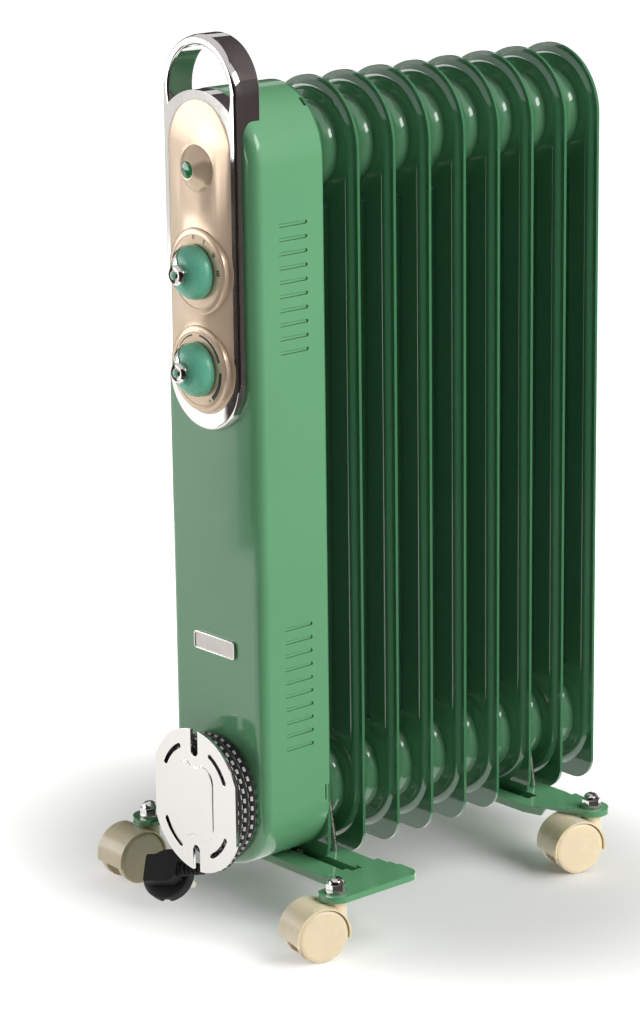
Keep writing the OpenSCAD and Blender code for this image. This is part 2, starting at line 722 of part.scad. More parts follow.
// Rubber grommet where the cord goes through the drum's floor and the cover.
module cord_gland() {
    f = cover_front - 2;
    b = cover_front + cover_wall;
    inner = cord_d / 2 + fit;
    outer = cord_hole_r - fit;
    color("black") translate([0, first_y, 0]) turned(0, reel_z) polygon([
        [inner, f - 2], [outer + 2, f - 2], [outer + 2, f], [outer, f], [outer, b], [outer + 2, b],
        [outer + 2, b + 2], [inner, b + 2]
    ]);
}
module reel_plate() {
    hw = reel_plate_w / 2;
    hh = reel_plate_h / 2;
    rise = hh - reel_side;
    big_r = (hw * hw + rise * rise) / (2 * rise);
    slot_r = big_r - reel_slot_inset;
    notch_r = reel_notch_w / 2;
    color(chrome) translate([0, first_y, 0]) {
        upright_sheet(reel_plate_front, reel_plate_back) translate([0, reel_z]) difference() {
            intersection() {
                union() {
                    translate([0, hh - big_r]) circle(r = big_r, $fn = 160);
                    translate([0, big_r - hh]) circle(r = big_r, $fn = 160);
                }
                square([reel_plate_w, reel_plate_h + 10], center = true);
            }
            for (s = [-1, 1]) scale([1, s]) {
                translate([0, reel_notch_z + notch_r]) circle(r = notch_r);
                translate([-notch_r, reel_notch_z + notch_r]) square([reel_notch_w, 30]);
                translate([0, hh - big_r]) for (t = [1, -1]) scale([t, 1])
                    curved_slot(slot_r, reel_slot_w, reel_slot_arc[0], reel_slot_arc[1]);
            }
        }
        pad_front = reel_plate_front - reel_pad_rise;
        upright_sheet(pad_front, reel_plate_front) translate([0, reel_z]) difference() {
            rounded_plate(reel_pad[0], reel_pad[1], reel_pad_r);
            for (s = [-1, 1]) translate([0, s * (reel_notch_z + notch_r)]) circle(r = reel_pad_bite_r);
        }
    }
}
module curved_slot(r, w, from, to) {
    far = r * 2;
    intersection() {
        difference() {
            circle(r = r + w / 2, $fn = 128);
            circle(r = r - w / 2, $fn = 128);
        }
        polygon([[0, 0], [far * cos(from), far * sin(from)], [far * cos(to), far * sin(to)]]);
    }
    for (a = [from, to]) translate([r * cos(a), r * sin(a)]) circle(d = w, $fn = 24);
}
module reel_screws() {
    head = cover_front + cover_wall;
    color("lightgray") translate([0, first_y, 0]) for (x = [-reel_screw_x, reel_screw_x]) {
        rod(3.4, head, head + 2, x, reel_z);
        rod(1.55, reel_plate_back + 3, head + 1, x, reel_z);
    }
}
module cover_screws() {
    color("lightgray") translate([0, first_y, 0]) for (x = [-skirt_screw_x, skirt_screw_x]) {
        turned(x, skirt_screw_z) polygon([
            [0, cover_back - 2.2], [2.2, cover_back - 2.1], [3.2, cover_back - 1],
            [3.3, cover_back], [0, cover_back]
        ]);
        rod(2, cover_back - 0.5, 5, x, skirt_screw_z);
    }
}

// Centre line of the outer layer, by angle from the bottom towards the left: each turn lies in its own
// row, and a crossing takes it to the next one back.
function ease(s) = s * s * (3 - 2 * s);
function wind_row(b) = let (k = floor((b - cross_from) / 360))
    k + ease(min(1, (b - cross_from - 360 * k) / cross_turn));
function straight(c) = max(-1, min(1, 6 * c));
function wind_point(b) = [
    -wind_r * sin(b),
    last_row_y + row_pitch * wind_row(b),
    reel_z - wind_r * cos(b) - drum_flat * straight(cos(b))
];
wind_end = 360 * row_count - wind_leave;
wind_steps = ceil(wind_ring_count * (wind_end - wind_start) / 360);
wind_turns = [for (i = [0:wind_steps]) wind_point(wind_start + (wind_end - wind_start) * i / wind_steps)];
wind_in = [cos(wind_start), 0, -sin(wind_start)];
wind_out = [-cos(wind_leave), 0, -sin(wind_leave)];
wind_path = concat(
    [wind_turns[0] + cord_d * wind_in], wind_turns, [wind_turns[wind_steps] + cord_d * wind_out]
);

function unit(v) = v / norm(v);
function tangents(p) = let (n = len(p) - 1) [
    for (i = [0:n])
        i == 0 ? unit(p[1] - p[0]) : i == n ? unit(p[n] - p[n - 1])
            : unit(unit(p[i + 1] - p[i]) + unit(p[i] - p[i - 1]))
];
function ring(p, t, r, sides) = let (n = unit(cross(t, [0, 1, 0])), b = cross(n, t))
    [for (k = [0:sides - 1]) p + r * (cos(360 * k / sides) * n + sin(360 * k / sides) * b)];
module tube(path, r, sides) {
    t = tangents(path);
    n = len(path);
    points = [for (i = [0:n - 1], p = ring(path[i], t[i], r, sides)) p];
    walls = [
        for (i = [0:n - 2], k = [0:sides - 1]) let (a = i * sides + k, b = i * sides + (k + 1) % sides)
            each [[a, b, b + sides], [a, b + sides, a + sides]]
    ];
    last = (n - 1) * sides;
    caps = [for (k = [1:sides - 2]) each [[0, k + 1, k], [last, last + k, last + k + 1]]];
    polyhedron(points, concat(walls, caps));
}
// Least gap between parts of the winding that are more than a quarter turn apart.
wind_gap = min([
    for (i = [0:len(wind_path) - 1], j = [i + 6:1:len(wind_path) - 1]) norm(wind_path[i] - wind_path[j])
]) - 2 * tube_r;
echo(least_winding_gap = wind_gap);

module cord_core() {
    outer = first_row_y + tube_r;
    inner = last_row_y - tube_r;
    start = wind_path[0];
    stub_hw = tube_r - 0.25;
    color("dimgray") translate([0, first_y, 0]) {
        oval(reel_z - drum_flat, reel_z + drum_flat)
            polygon([[drum_r + seat, inner], [core_r, inner], [core_r, outer], [drum_r + seat, outer]]);
        translate(start) rotate([0, wind_start, 0])
            translate([0, -stub_hw, -stub_hw]) cube([tube_r, 2 * stub_hw, stub_hw + start_stub]);
    }
}
module cord_winding() {
    color("black") translate([0, first_y, 0]) tube(wind_path, tube_r, 6);
}
module cord_lead() {
    color("black") translate([0, first_y, 0]) tube(lead_route, cord_d / 2, lead_sides);
}
module plug_place() {
    translate([0, first_y, 0]) translate(plug_at) rotate(plug_turn) children();
}
module strain_relief() {
    root_r = 5.4;
    tip_r = 4.2;
    ribs = 5;
    step = relief_l / (ribs + 1);
    color("black") plug_place() translate([plug_neck_x, 0, plug_cord_h]) rotate([0, 90, 0]) rotate_extrude()
        polygon(concat(
            [[0, 0], [root_r, 0], [root_r, 2]],
            [for (i = [0:ribs - 1], e = [[0.3, -1.3], [0.42, -1.3], [0.44, 0], [1, 0]])
                [root_r + (tip_r - root_r) * (i + e[0]) / ribs + e[1], 2 + (i + e[0]) * step]],
            [[tip_r, relief_l], [0, relief_l]]
        ));
}
module plug() {
    hx = plug_block[0] / 2;
    hy = plug_block[1] / 2;
    color("black") plug_place() difference() {
        union() {
            rotate_extrude() polygon([
                [0, 0], [plug_r - 1, 0], [plug_r, 1], [plug_r, plug_disc_h - 3],
                [plug_r - 0.8, plug_disc_h - 1.2], [plug_r - 3, plug_disc_h], [0, plug_disc_h]
            ]);
            translate([0, 0, plug_disc_h - 1]) linear_extrude(plug_block[2] + 1) {
                rounded_plate(plug_block[0], plug_block[1], 2);
                polygon([
                    [hx - 3, hy - 0.3], [hx, hy - 1], [plug_neck_x, plug_neck_hw],
                    [plug_neck_x, -plug_neck_hw], [hx, 1 - hy], [hx - 3, 0.3 - hy]
                ]);
            }
        }
        for (s = [-1, 1]) translate([-plug_groove_w / 2, s * plug_r - plug_groove_d, -1])
            cube([plug_groove_w, 2 * plug_groove_d, plug_disc_h - 2]);
    }
}
module plug_pins() {
    color("silver") plug_place() for (x = [-pin_spread, pin_spread]) translate([x, 0, -pin_l])
        cylinder(r = pin_r, h = pin_l);
}

module foot_top_outline(reach, drop, low, rise_x) {
    s = foot_steps;
    t = [for (d = foot_step_drops) foot_top - d - drop];
    m = mid_top - drop;
    shift = drop;
    right = [
        [s[0] + shift, m], [s[0] + shift, t[0]], [s[1] + shift, t[0]], [s[1] + shift, t[1]],
        [s[2] + shift, t[1]], [s[2] + shift, t[2]], [reach, t[2]], [reach, low[1]], [rise_x + 4, low[1]],
        [rise_x, low[0]]
    ];
    left = [for (i = [len(right) - 1:-1:0]) [-right[i][0], right[i][1]]];
    polygon(concat(right, left));
}
module foot_sheet(y, rise_x) {
    difference() {
        intersection() {
            upright_sheet(y - 120, y + 120)
                foot_top_outline(foot_hw + 5, 0, [mid_flange, flange_bottom], rise_x);
            linear_extrude(foot_top + 5) children(0);
        }
        intersection() {
            upright_sheet(y - 120, y + 120) foot_top_outline(foot_hw + 5, foot_t, [0, 0], rise_x);
            linear_extrude(foot_top + 5) children(1);
        }
    }
}
module front_foot_outline(inset) {
    hw = foot_hw - inset;
    y0 = front_foot_y[0] + inset;
    y1 = front_foot_y[1] - inset;
    r = foot_corner_r - inset;
    translate([0, (y0 + y1) / 2]) rounded_plate(2 * hw, y1 - y0, r);
    for (x = [-castor_x, castor_x]) translate([x, -castor_front]) {
        circle(r = ear_r - inset);
        translate([-ear_r + inset, 0]) square([2 * (ear_r - inset), castor_front + y0 + r]);
    }
}
module rear_foot_outline(inset) {
    y0 = rear_foot_edges[0] + inset;
    y1 = rear_foot_edges[1] - inset;
    r = ear_r - inset;
    polygon([
        [-rear_foot_wide_x, y0], [rear_foot_wide_x, y0],
        [castor_x, castor_rear - r], [castor_x, castor_rear + r],
        [rear_foot_wide_x, y1], [-rear_foot_wide_x, y1],
        [-castor_x, castor_rear + r], [-castor_x, castor_rear - r]
    ]);
    for (x = [-castor_x, castor_x]) translate([x, castor_rear]) circle(r = r);
}
// Cuts the slot that a section's bottom edge stands in, the U-bolt's holes and the castor bolts' holes.
module foot(fin_y, u_bolt_y, bolt_y, slot_hw) {
    w = fin_slot_w;
    difference() {
        union() {
            children();
            translate([-slot_hw - slot_wall, fin_y - w / 2 - slot_wall, section_bottom - slot_wall])
                cube([2 * (slot_hw + slot_wall), w + 2 * slot_wall, mid_top - section_bottom + slot_wall]);
        }
        translate([-slot_hw, fin_y - w / 2, section_bottom]) cube([2 * slot_hw, w, 20]);
        for (x = [-castor_x, castor_x]) translate([x, bolt_y, 0]) cylinder(r = bolt_hole_r, h = foot_top + 5);
        u_bolt_legs(u_bolt_y, u_bolt_r + 0.3);
    }
}
module front_foot() {
    color(enamel) translate([0, first_y, 0]) foot(0, u_bolt_ys[0], -castor_front, fin_slot_hw[0])
        foot_sheet(0, flange_rise_x) {
            front_foot_outline(0);
            front_foot_outline(foot_t);
        }
}
module rear_foot() {
    color(enamel) translate([0, first_y, 0]) foot(rear_foot_y, u_bolt_ys[1], castor_rear, fin_slot_hw[1])
        foot_sheet(rear_foot_y, flange_rise_x) {
            rear_foot_outline(0);
            rear_foot_outline(foot_t);
        }
}
module u_bolt_leg() {
    translate([u_bolt_mid_r * cos(u_bolt_turn), 0, hub_low_z + u_bolt_mid_r * sin(u_bolt_turn)])
        rotate([0, 180 - u_bolt_turn, 0]) children();
}
module u_bolt_legs(y, r) {
    translate([0, y, 0]) mirrored() u_bolt_leg() translate([0, 0, -0.6])
        cylinder(r = r, h = u_bolt_leg_l + 0.6);
}
module u_bolt(y) {
    color("lightgray") translate([0, first_y, 0]) {
        translate([0, y, hub_low_z]) rotate([90, 0, 0]) rotate([0, 0, u_bolt_turn])
            rotate_extrude(angle = 180 - 2 * u_bolt_turn) translate([u_bolt_mid_r, 0]) circle(r = u_bolt_r);
        u_bolt_legs(y, u_bolt_r - fit);
    }
}
module front_u_bolt() u_bolt(u_bolt_ys[0]);
module rear_u_bolt() u_bolt(u_bolt_ys[1]);
module wing_nuts() {
    down = u_bolt_leg_l - (mid_top - foot_t - 1 - u_bolt_end_z) / cos(u_bolt_turn);
    color("lightgray") translate([0, first_y, 0]) for (y = u_bolt_ys) translate([0, y, 0]) mirrored()
        u_bolt_leg() translate([0, 0, down]) difference() {
            union() {
                cylinder(r = 5, h = 4);
                for (s = [-1, 1]) translate([s * 7, 0, 5]) rotate([90, 0, 0])
                    cylinder(r = 4, h = 1.6, center = true);
            }
            translate([0, 0, -1]) cylinder(r = u_bolt_r + fit, h = 20);
        }
}
module at_castors() {
    for (i = [0:3]) castor_place(i) children();
}
module castor_place(i) {
    translate([i % 2 == 0 ? -castor_x : castor_x, first_y + (i < 2 ? -castor_front : castor_rear), 0])
        children();
}
module castor_stems() {
    under = foot_top - foot_t;
    color("lightgray") at_castors() {
        translate([0, 0, stem_end]) cylinder(r = stem_r, h = under - 1 - stem_end);
        translate([0, 0, under - 1.2]) cylinder(r = 6, h = 1.2);
        translate([0, 0, under - 1]) cylinder(r = bolt_r, h = foot_t + 1 + washer_t + nut_h + 2);
    }
}
module castor_washers() {
    color("lightgray") at_castors() translate([0, 0, foot_top]) difference() {
        cylinder(r = 8, h = washer_t);
        translate([0, 0, -1]) cylinder(r = bolt_hole_r, h = washer_t + 2);
    }
}
module cap_nuts() {
    dome_r = nut_across / 2 - 0.4;
    color("silver") at_castors() translate([0, 0, foot_top + washer_t]) difference() {
        union() {
            cylinder(r = nut_across / 2 / cos(30), h = nut_h, $fn = 6);
            rotate_extrude() polygon(concat([[0, nut_h - 1], [dome_r, nut_h - 1]],
                [for (i = [0:8]) let (a = 11.25 * i) [dome_r * cos(a), nut_h + (dome_r - 1.2) * sin(a)]]));
        }
        translate([0, 0, -1]) cylinder(r = bolt_r + fit, h = nut_h + 3.1);
    }
}
// A castor's hood: a web between the wheels, a curved guard over each and a boss for the stem.
module hood(i) {
    inner_r = hood_r - hood_wall;
    low = wheel_r - hood_cut;
    color("wheat") castor_place(i) rotate([0, 0, castor_turns[i]]) difference() {
        union() {
            translate([-castor_trail, 0, wheel_r]) rotate([90, 0, 0])
                cylinder(r = hood_r, h = castor_w, center = true, $fn = 96);
            translate([0, 0, low]) cylinder(r = boss_r, h = boss_top - low);
        }
        for (s = [-1, 1]) translate([-castor_trail, s * (hood_web / 2 + castor_w / 2), wheel_r])
            rotate([90, 0, 0]) cylinder(r = inner_r, h = castor_w, center = true, $fn = 96);
        translate([-castor_trail - 2 * hood_r, -castor_w, low - hood_r])
            cube([4 * hood_r, 2 * castor_w, hood_r]);
        cylinder(r = stem_r + running, h = foot_top);
        translate([-castor_trail, 0, wheel_r]) rotate([90, 0, 0])
            cylinder(r = axle_r + running, h = castor_w, center = true);
    }
}
module wheels(i) {
    inner = hood_web / 2 + wheel_gap;
    outer = castor_w / 2 - 0.4;
    color("wheat") castor_place(i) rotate([0, 0, castor_turns[i]])
        translate([-castor_trail, 0, wheel_r]) rotate([-90, 0, 0]) for (s = [0, 1]) mirror([0, 0, s])
            rotate_extrude($fn = 96) polygon([
                [0, 0], [axle_r, 0], [axle_r, inner], [wheel_r - 0.8, inner], [wheel_r, inner + 0.8],
                [wheel_r, outer - 2], [wheel_r - 0.6, outer - 0.9], [wheel_r - 1.8, outer - 0.3],
                [wheel_r - 3.6, outer], [0, outer]
            ]);
}

for (i = [0:section_count - 1]) section(i);
front_cover();
handle_frame();
control_panel();
lamp_lens();
lamp_holder();
control_bracket();
selector_switch();
thermostat_body();
thermal_cutout();
terminal_block();
wiring();
heating_element();
filler_plug();
badge_plate();
reel_drum();
reel_plate();
reel_screws();
cord_gland();
cover_screws();
front_foot();
rear_foot();
front_u_bolt();
rear_u_bolt();
wing_nuts();
castor_stems();
castor_washers();
cap_nuts();
selector_spindle();
selector_knob();
selector_pointer();
thermostat_spindle();
thermostat_knob();
thermostat_pointer();
cord_core();
cord_winding();
cord_lead();
strain_relief();
plug();
plug_pins();
for (i = [0:3]) hood(i);
for (i = [0:3]) wheels(i);
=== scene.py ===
import json
import math

import bmesh
import bpy
from bpy.props import FloatProperty, FloatVectorProperty, IntProperty, PointerProperty
from mathutils import Matrix, Vector

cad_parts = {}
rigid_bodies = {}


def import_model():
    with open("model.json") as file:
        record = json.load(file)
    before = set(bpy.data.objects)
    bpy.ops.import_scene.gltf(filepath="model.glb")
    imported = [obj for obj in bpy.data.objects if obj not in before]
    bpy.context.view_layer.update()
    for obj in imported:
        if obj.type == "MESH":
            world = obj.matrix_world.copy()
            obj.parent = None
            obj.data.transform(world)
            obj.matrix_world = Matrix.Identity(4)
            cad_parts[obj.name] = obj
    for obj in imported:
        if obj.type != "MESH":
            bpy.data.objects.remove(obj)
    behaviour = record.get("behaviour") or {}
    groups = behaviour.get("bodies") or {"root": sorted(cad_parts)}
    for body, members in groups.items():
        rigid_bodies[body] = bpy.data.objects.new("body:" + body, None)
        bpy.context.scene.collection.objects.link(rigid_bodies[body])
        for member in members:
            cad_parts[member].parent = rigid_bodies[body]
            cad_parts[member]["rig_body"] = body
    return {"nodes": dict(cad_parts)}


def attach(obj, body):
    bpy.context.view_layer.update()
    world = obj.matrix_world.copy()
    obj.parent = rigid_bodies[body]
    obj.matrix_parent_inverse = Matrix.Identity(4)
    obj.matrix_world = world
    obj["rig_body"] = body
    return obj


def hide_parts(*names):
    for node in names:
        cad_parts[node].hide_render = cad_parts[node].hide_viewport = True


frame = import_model()

bl_info = {
    "name": "Oil-filled Radiator",
    "version": (1, 0, 0),
    "blender": (4, 5, 0),
    "location": "View3D > Sidebar > Radiator",
    "description": "Dresses the packed model of an oil-filled radiator with its finishes and details",
    "category": "Object",
}

NODES = frame["nodes"]
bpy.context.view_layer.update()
# Place of the first section's seam, in millimetres
FIRST_Y = -96.4
# Heights of the hubs' centres, and where the painted light on the hubs' enamel ends, in metres
HUB_LOW, HUB_HIGH = 0.0878, 0.5674
HUB_PAINTED_LIGHT = (0.027, 0.042)
CASTORS = ("front_left", "front_right", "rear_left", "rear_right")
SECTION_COUNT = 9


def at(x, y, z):
    """A point in metres, from millimetres counted from the first section's seam."""
    return Vector((x, y + FIRST_Y, z)) / 1000


# Sizes and colours


class RadiatorSizes(bpy.types.PropertyGroup):
    rim_round: FloatProperty(
        name="Rim round", description="Radius on the rims of the sections",
        default=0.0009, min=0.0002, max=0.0011, unit="LENGTH",
    )
    sheet_round: FloatProperty(
        name="Sheet round", description="Radius on the cut edges of the sheet parts",
        default=0.0005, min=0.0001, max=0.0008, unit="LENGTH",
    )
    cord_width: FloatProperty(
        name="Cord width", description="Diameter of the braided cord",
        default=0.0062, min=0.0055, max=0.0063, unit="LENGTH",
    )
    cord_sides: IntProperty(
        name="Cord sides", description="Faces round the braided cord", default=18, min=8, max=32,
    )
    mark_radius: FloatProperty(
        name="Mark radius", description="Distance of a dial's marks from its centre",
        default=0.0245, min=0.0225, max=0.0258, unit="LENGTH",
    )


class RadiatorColours(bpy.types.PropertyGroup):
    enamel: FloatVectorProperty(
        name="Enamel", description="Colour of the stove enamel", subtype="COLOR", size=3,
        min=0, max=1, default=(0.13, 0.345, 0.175),
    )
    # Darker than the cover's enamel: painted shade for the deep gaps between the sections
    sections: FloatVectorProperty(
        name="Sections", description="Colour of the enamel on the sections", subtype="COLOR", size=3,
        min=0, max=1, default=(0.05, 0.18, 0.082),
    )
    panel: FloatVectorProperty(
        name="Panel", description="Colour of the control panel and dials", subtype="COLOR", size=3,
        min=0, max=1, default=(0.76, 0.58, 0.42),
    )
    knobs: FloatVectorProperty(
        name="Knobs", description="Colour of the two knobs", subtype="COLOR", size=3,
        min=0, max=1, default=(0.15, 0.53, 0.355),
    )
    castors: FloatVectorProperty(
        name="Castors", description="Colour of the hoods and wheels", subtype="COLOR", size=3,
        min=0, max=1, default=(0.88, 0.74, 0.52),
    )
    chrome: FloatVectorProperty(
        name="Chrome", description="Colour of the plated parts", subtype="COLOR", size=3,
        min=0, max=1, default=(0.70, 0.68, 0.66),
    )


def sizes():
    return bpy.context.scene.radiator_sizes


def colours():
    return bpy.context.scene.radiator_colours


# Finishes


class Finish:
    """A material's nodes, built round its shader."""

    def __init__(self, name, **sockets):
        self.material = bpy.data.materials.new(name)
        self.material.use_nodes = True
        self.tree = self.material.node_tree
        self.shader = self.tree.nodes["Principled BSDF"]
        self.place = self.tree.nodes.new("ShaderNodeTexCoord").outputs["Object"]
        for socket, value in sockets.items():
            self.shader.inputs[socket.replace("_", " ")].default_value = value

    def node(self, kind, inputs, output=0, **settings):
        made = self.tree.nodes.new(kind)
        for name, value in settings.items():
            setattr(made, name, value)
        for key, value in inputs.items():
            if isinstance(value, bpy.types.NodeSocket):
                self.tree.links.new(value, made.inputs[key])
            else:
                made.inputs[key].default_value = value
        return made.outputs[output]

    def noise(self, scale, detail=2.0, stretch=(1, 1, 1)):
        place = self.node("ShaderNodeMapping", {"Vector": self.place, "Scale": stretch})
        return self.node(
            "ShaderNodeTexNoise", {"Vector": place, "Scale": scale, "Detail": detail, "Roughness": 0.55}
        )

    def spread(self, value, low, high, start=0.3, end=0.7):
        return self.node(
            "ShaderNodeMapRange",
            {"Value": value, "From Min": start, "From Max": end, "To Min": low, "To Max": high},
        )

    def calc(self, operation, a, b):
        return self.node("ShaderNodeMath", {0: a, 1: b}, operation=operation)

    def blend(self, factor, a, b):
        return self.node("ShaderNodeMix", {0: factor, 6: a, 7: b}, output=2, data_type="RGBA")

    def bump(self, height, distance, strength=1.0):
        normal = self.node("ShaderNodeBump", {"Height": height, "Distance": distance, "Strength": strength})
        self.tree.links.new(normal, self.shader.inputs["Normal"])

    def into(self, socket, value):
        self.tree.links.new(value, self.shader.inputs[socket])

    def shades(self, colour, scale, spread=0.05, detail=3.0):
        """Base colour that drifts a little lighter and darker over the surface."""
        dark = [c * (1 - spread) for c in colour] + [1]
        light = [min(1, c * (1 + spread)) for c in colour] + [1]
        tone = self.spread(self.noise(scale, detail), 0, 1)
        self.into("Base Color", self.blend(tone, dark, light))
        return tone


FINISHES = {}


def finish(slot):
    """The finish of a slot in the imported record, made once."""
    if slot not in FINISHES:
        FINISHES[slot] = FINISH_MAKERS[slot]().material
    return FINISHES[slot]


def orange_peel(made):
    """The fine waves and the uneven gloss of stove enamel."""
    made.into("Roughness", made.spread(made.noise(scale=24, detail=3), 0.12, 0.17))
    made.bump(made.noise(scale=230, detail=1.0), distance=0.00006, strength=0.35)
    return made


def enamel():
    made = Finish("green_enamel", Specular_IOR_Level=0.5, Coat_Weight=0.25, Coat_Roughness=0.04)
    made.shades(colours().enamel, scale=7, spread=0.035)
    return orange_peel(made)


def shaded_section_enamel():
    """The enamel on the sections with painted shade and light: darker between the rims, and painted lighter
    on the hubs as if lit.
    """
    made = Finish("section_enamel_painted_shade", Specular_IOR_Level=0.5, Coat_Weight=1.0, Coat_Roughness=0.04)
    parts = made.tree.nodes.new("ShaderNodeSeparateXYZ")
    made.tree.links.new(made.place, parts.inputs[0])
    up = made.calc("ABSOLUTE", made.calc("SUBTRACT", parts.outputs[2], (HUB_LOW + HUB_HIGH) / 2), 0)
    up = made.calc("SUBTRACT", up, (HUB_HIGH - HUB_LOW) / 2)
    squares = made.calc("ADD", made.calc("POWER", parts.outputs[0], 2), made.calc("POWER", up, 2))
    far = made.calc("SQRT", squares, 0)
    # Painted light: the enamel turns lighter near the hubs' axes
    near = made.spread(far, 1, 0, *HUB_PAINTED_LIGHT)
    drift = made.spread(made.noise(scale=7, detail=3), 0.965, 1.035)
    # The lighter hub colour is painted light; the sections' darker colour is painted shade
    light = [c * 0.9 for c in colours().enamel] + [1]
    tone = made.blend(near, [*colours().sections, 1], light)
    made.into("Base Color", made.node("ShaderNodeVectorMath", {0: tone, "Scale": drift}, operation="SCALE"))
    return orange_peel(made)


def chrome():
    made = Finish("chrome", Metallic=1.0)
    made.shades(colours().chrome, scale=9, spread=0.02)
    made.into("Roughness", made.spread(made.noise(scale=38, detail=4), 0.035, 0.085))
    made.bump(made.noise(scale=60, detail=1), distance=0.00005, strength=0.2)
    return made


def panel_plastic():
    made = Finish("cream_panel", Metallic=0.34, Specular_IOR_Level=0.5)
    made.shades(colours().panel, scale=11, spread=0.03)
    made.into("Roughness", made.spread(made.noise(scale=70, detail=3), 0.22, 0.27))
    made.bump(made.noise(scale=2400, detail=2), distance=0.00002, strength=0.2)
    return made


def knob_plastic():
    made = Finish("teal_knob", Specular_IOR_Level=0.5)
    made.shades(colours().knobs, scale=26, spread=0.05)
    made.into("Roughness", made.spread(made.noise(scale=110, detail=2), 0.24, 0.3))
    made.bump(made.noise(scale=420, detail=1), distance=0.00003, strength=0.2)
    return made


def lens_plastic():
    made = Finish("green_lens", IOR=1.49, Coat_Weight=0.6, Coat_Roughness=0.03)
    made.shades((0.02, 0.24, 0.08), scale=240, spread=0.2)
    made.into("Roughness", made.spread(made.noise(scale=300, detail=2), 0.08, 0.14))
    rings = made.node(
        "ShaderNodeTexWave",
        {"Vector": made.place, "Scale": 190.0, "Distortion": 0.4},
        output=1, wave_type="BANDS", bands_direction="DIAGONAL",
    )
    made.bump(rings, distance=0.00008, strength=0.4)
    return made


def castor_plastic():
    made = Finish("castor_cream", Specular_IOR_Level=0.45, Subsurface_Weight=0.25, Subsurface_Scale=0.006)
    made.shader.inputs["Subsurface Radius"].default_value = (1.0, 0.7, 0.25)
    made.shades(colours().castors, scale=30, spread=0.035)
    made.into("Roughness", made.spread(made.noise(scale=90, detail=3), 0.2, 0.3))
    made.bump(made.noise(scale=520, detail=2), distance=0.00004, strength=0.3)
    return made


def pale_plastic():
    made = Finish("pale_moulding")
    made.shades((0.74, 0.71, 0.63), scale=40, spread=0.04)
    made.into("Roughness", made.spread(made.noise(scale=120, detail=2), 0.42, 0.55))
    made.bump(made.noise(scale=1500, detail=2), distance=0.00004, strength=0.5)
    return made


def black_plastic():
    made = Finish("black_moulding", Specular_IOR_Level=0.4)
    made.shades((0.018, 0.0175, 0.018), scale=60, spread=0.2)
    made.into("Roughness", made.spread(made.noise(scale=150, detail=3), 0.42, 0.56))
    made.bump(made.noise(scale=2600, detail=2), distance=0.00005, strength=0.6)
    return made


def rubber():
    made = Finish("black_rubber", Specular_IOR_Level=0.25)
    made.shades((0.006, 0.0056, 0.006), scale=90, spread=0.25)
    made.into("Roughness", made.spread(made.noise(scale=200, detail=3), 0.5, 0.66))
    made.bump(made.noise(scale=1900, detail=3), distance=0.00006, strength=0.6)
    return made


def zinc():
    made = Finish("zinc_steel", Metallic=1.0)
    made.shades((0.56, 0.55, 0.52), scale=130, spread=0.14, detail=5)
    made.into("Roughness", made.spread(made.noise(scale=260, detail=4), 0.2, 0.42))
    made.bump(made.noise(scale=900, detail=2), distance=0.00003, strength=0.4)
    return made


def pin_metal():
    made = Finish("bright_brass", Metallic=1.0)
    made.shades((0.66, 0.63, 0.55), scale=160, spread=0.06)
    made.into("Roughness", made.spread(made.noise(scale=500, detail=2, stretch=(1, 1, 8)), 0.14, 0.26))
    made.bump(made.noise(scale=700, detail=2, stretch=(8, 1, 1)), distance=0.00002, strength=0.3)
    return made


def sleeve():
    made = Finish("wire_sleeve")
    made.shades((0.07, 0.055, 0.045), scale=200, spread=0.3)
    made.into("Roughness", made.spread(made.noise(scale=300, detail=2), 0.5, 0.7))
    made.bump(made.noise(scale=1400, detail=2), distance=0.00005, strength=0.5)
    return made


# Rows of dashes round the cord, metres from dash to dash, and the share of that which is white
BRAID_ROWS, BRAID_PITCH, BRAID_WHITE = 4.0, 0.0070, 0.46
# Where a dash starts and ends across its row
BRAID_DASH = (0.28, 0.68)
# Ribs of the twill to a metre
TWILL_COUNT = 1100.0


def braid():
    """Black textile braid with a white strand that shows as short dashes in staggered rows."""
    made = Finish("braid", Sheen_Weight=0.35, Sheen_Roughness=0.5, Specular_IOR_Level=0.2)
    where = made.node("ShaderNodeUVMap", {}, uv_map="along")
    split = made.tree.nodes.new("ShaderNodeSeparateXYZ")
    made.tree.links.new(where, split.inputs[0])
    along, round_it = split.outputs[0], split.outputs[1]
    rows = made.calc("MULTIPLY", round_it, BRAID_ROWS)
    row = made.node("ShaderNodeMath", {0: rows}, operation="FLOOR")
    odd = made.calc("MODULO", row, 2.0)
    step = made.calc("ADD", made.calc("DIVIDE", along, BRAID_PITCH), made.calc("MULTIPLY", odd, 0.5))
    phase = made.node("ShaderNodeMath", {0: step}, operation="FRACT")
    across = made.node("ShaderNodeMath", {0: rows}, operation="FRACT")
    started = made.calc("GREATER_THAN", across, BRAID_DASH[0])
    dash = made.calc("MULTIPLY", made.calc("LESS_THAN", phase, BRAID_WHITE), started)
    dash = made.calc("MULTIPLY", dash, made.calc("LESS_THAN", across, BRAID_DASH[1]))
    ribs = made.calc("ADD", made.calc("MULTIPLY", along, TWILL_COUNT), rows)
    twill = made.node("ShaderNodeMath", {0: made.calc("MULTIPLY", ribs, 2 * math.pi)}, operation="SINE")
    fuzz = made.noise(scale=1600, detail=3)
    white = made.blend(fuzz, (0.55, 0.54, 0.51, 1), (0.92, 0.91, 0.88, 1))
    black = made.blend(fuzz, (0.004, 0.004, 0.005, 1), (0.022, 0.022, 0.024, 1))
    made.into("Base Color", made.blend(dash, black, white))
    made.into("Roughness", made.spread(fuzz, 0.7, 0.95))
    height = made.calc("ADD", made.calc("MULTIPLY", dash, 0.6), made.calc("MULTIPLY", twill, 0.35))
    made.bump(height, distance=0.00018, strength=0.8)
    return made


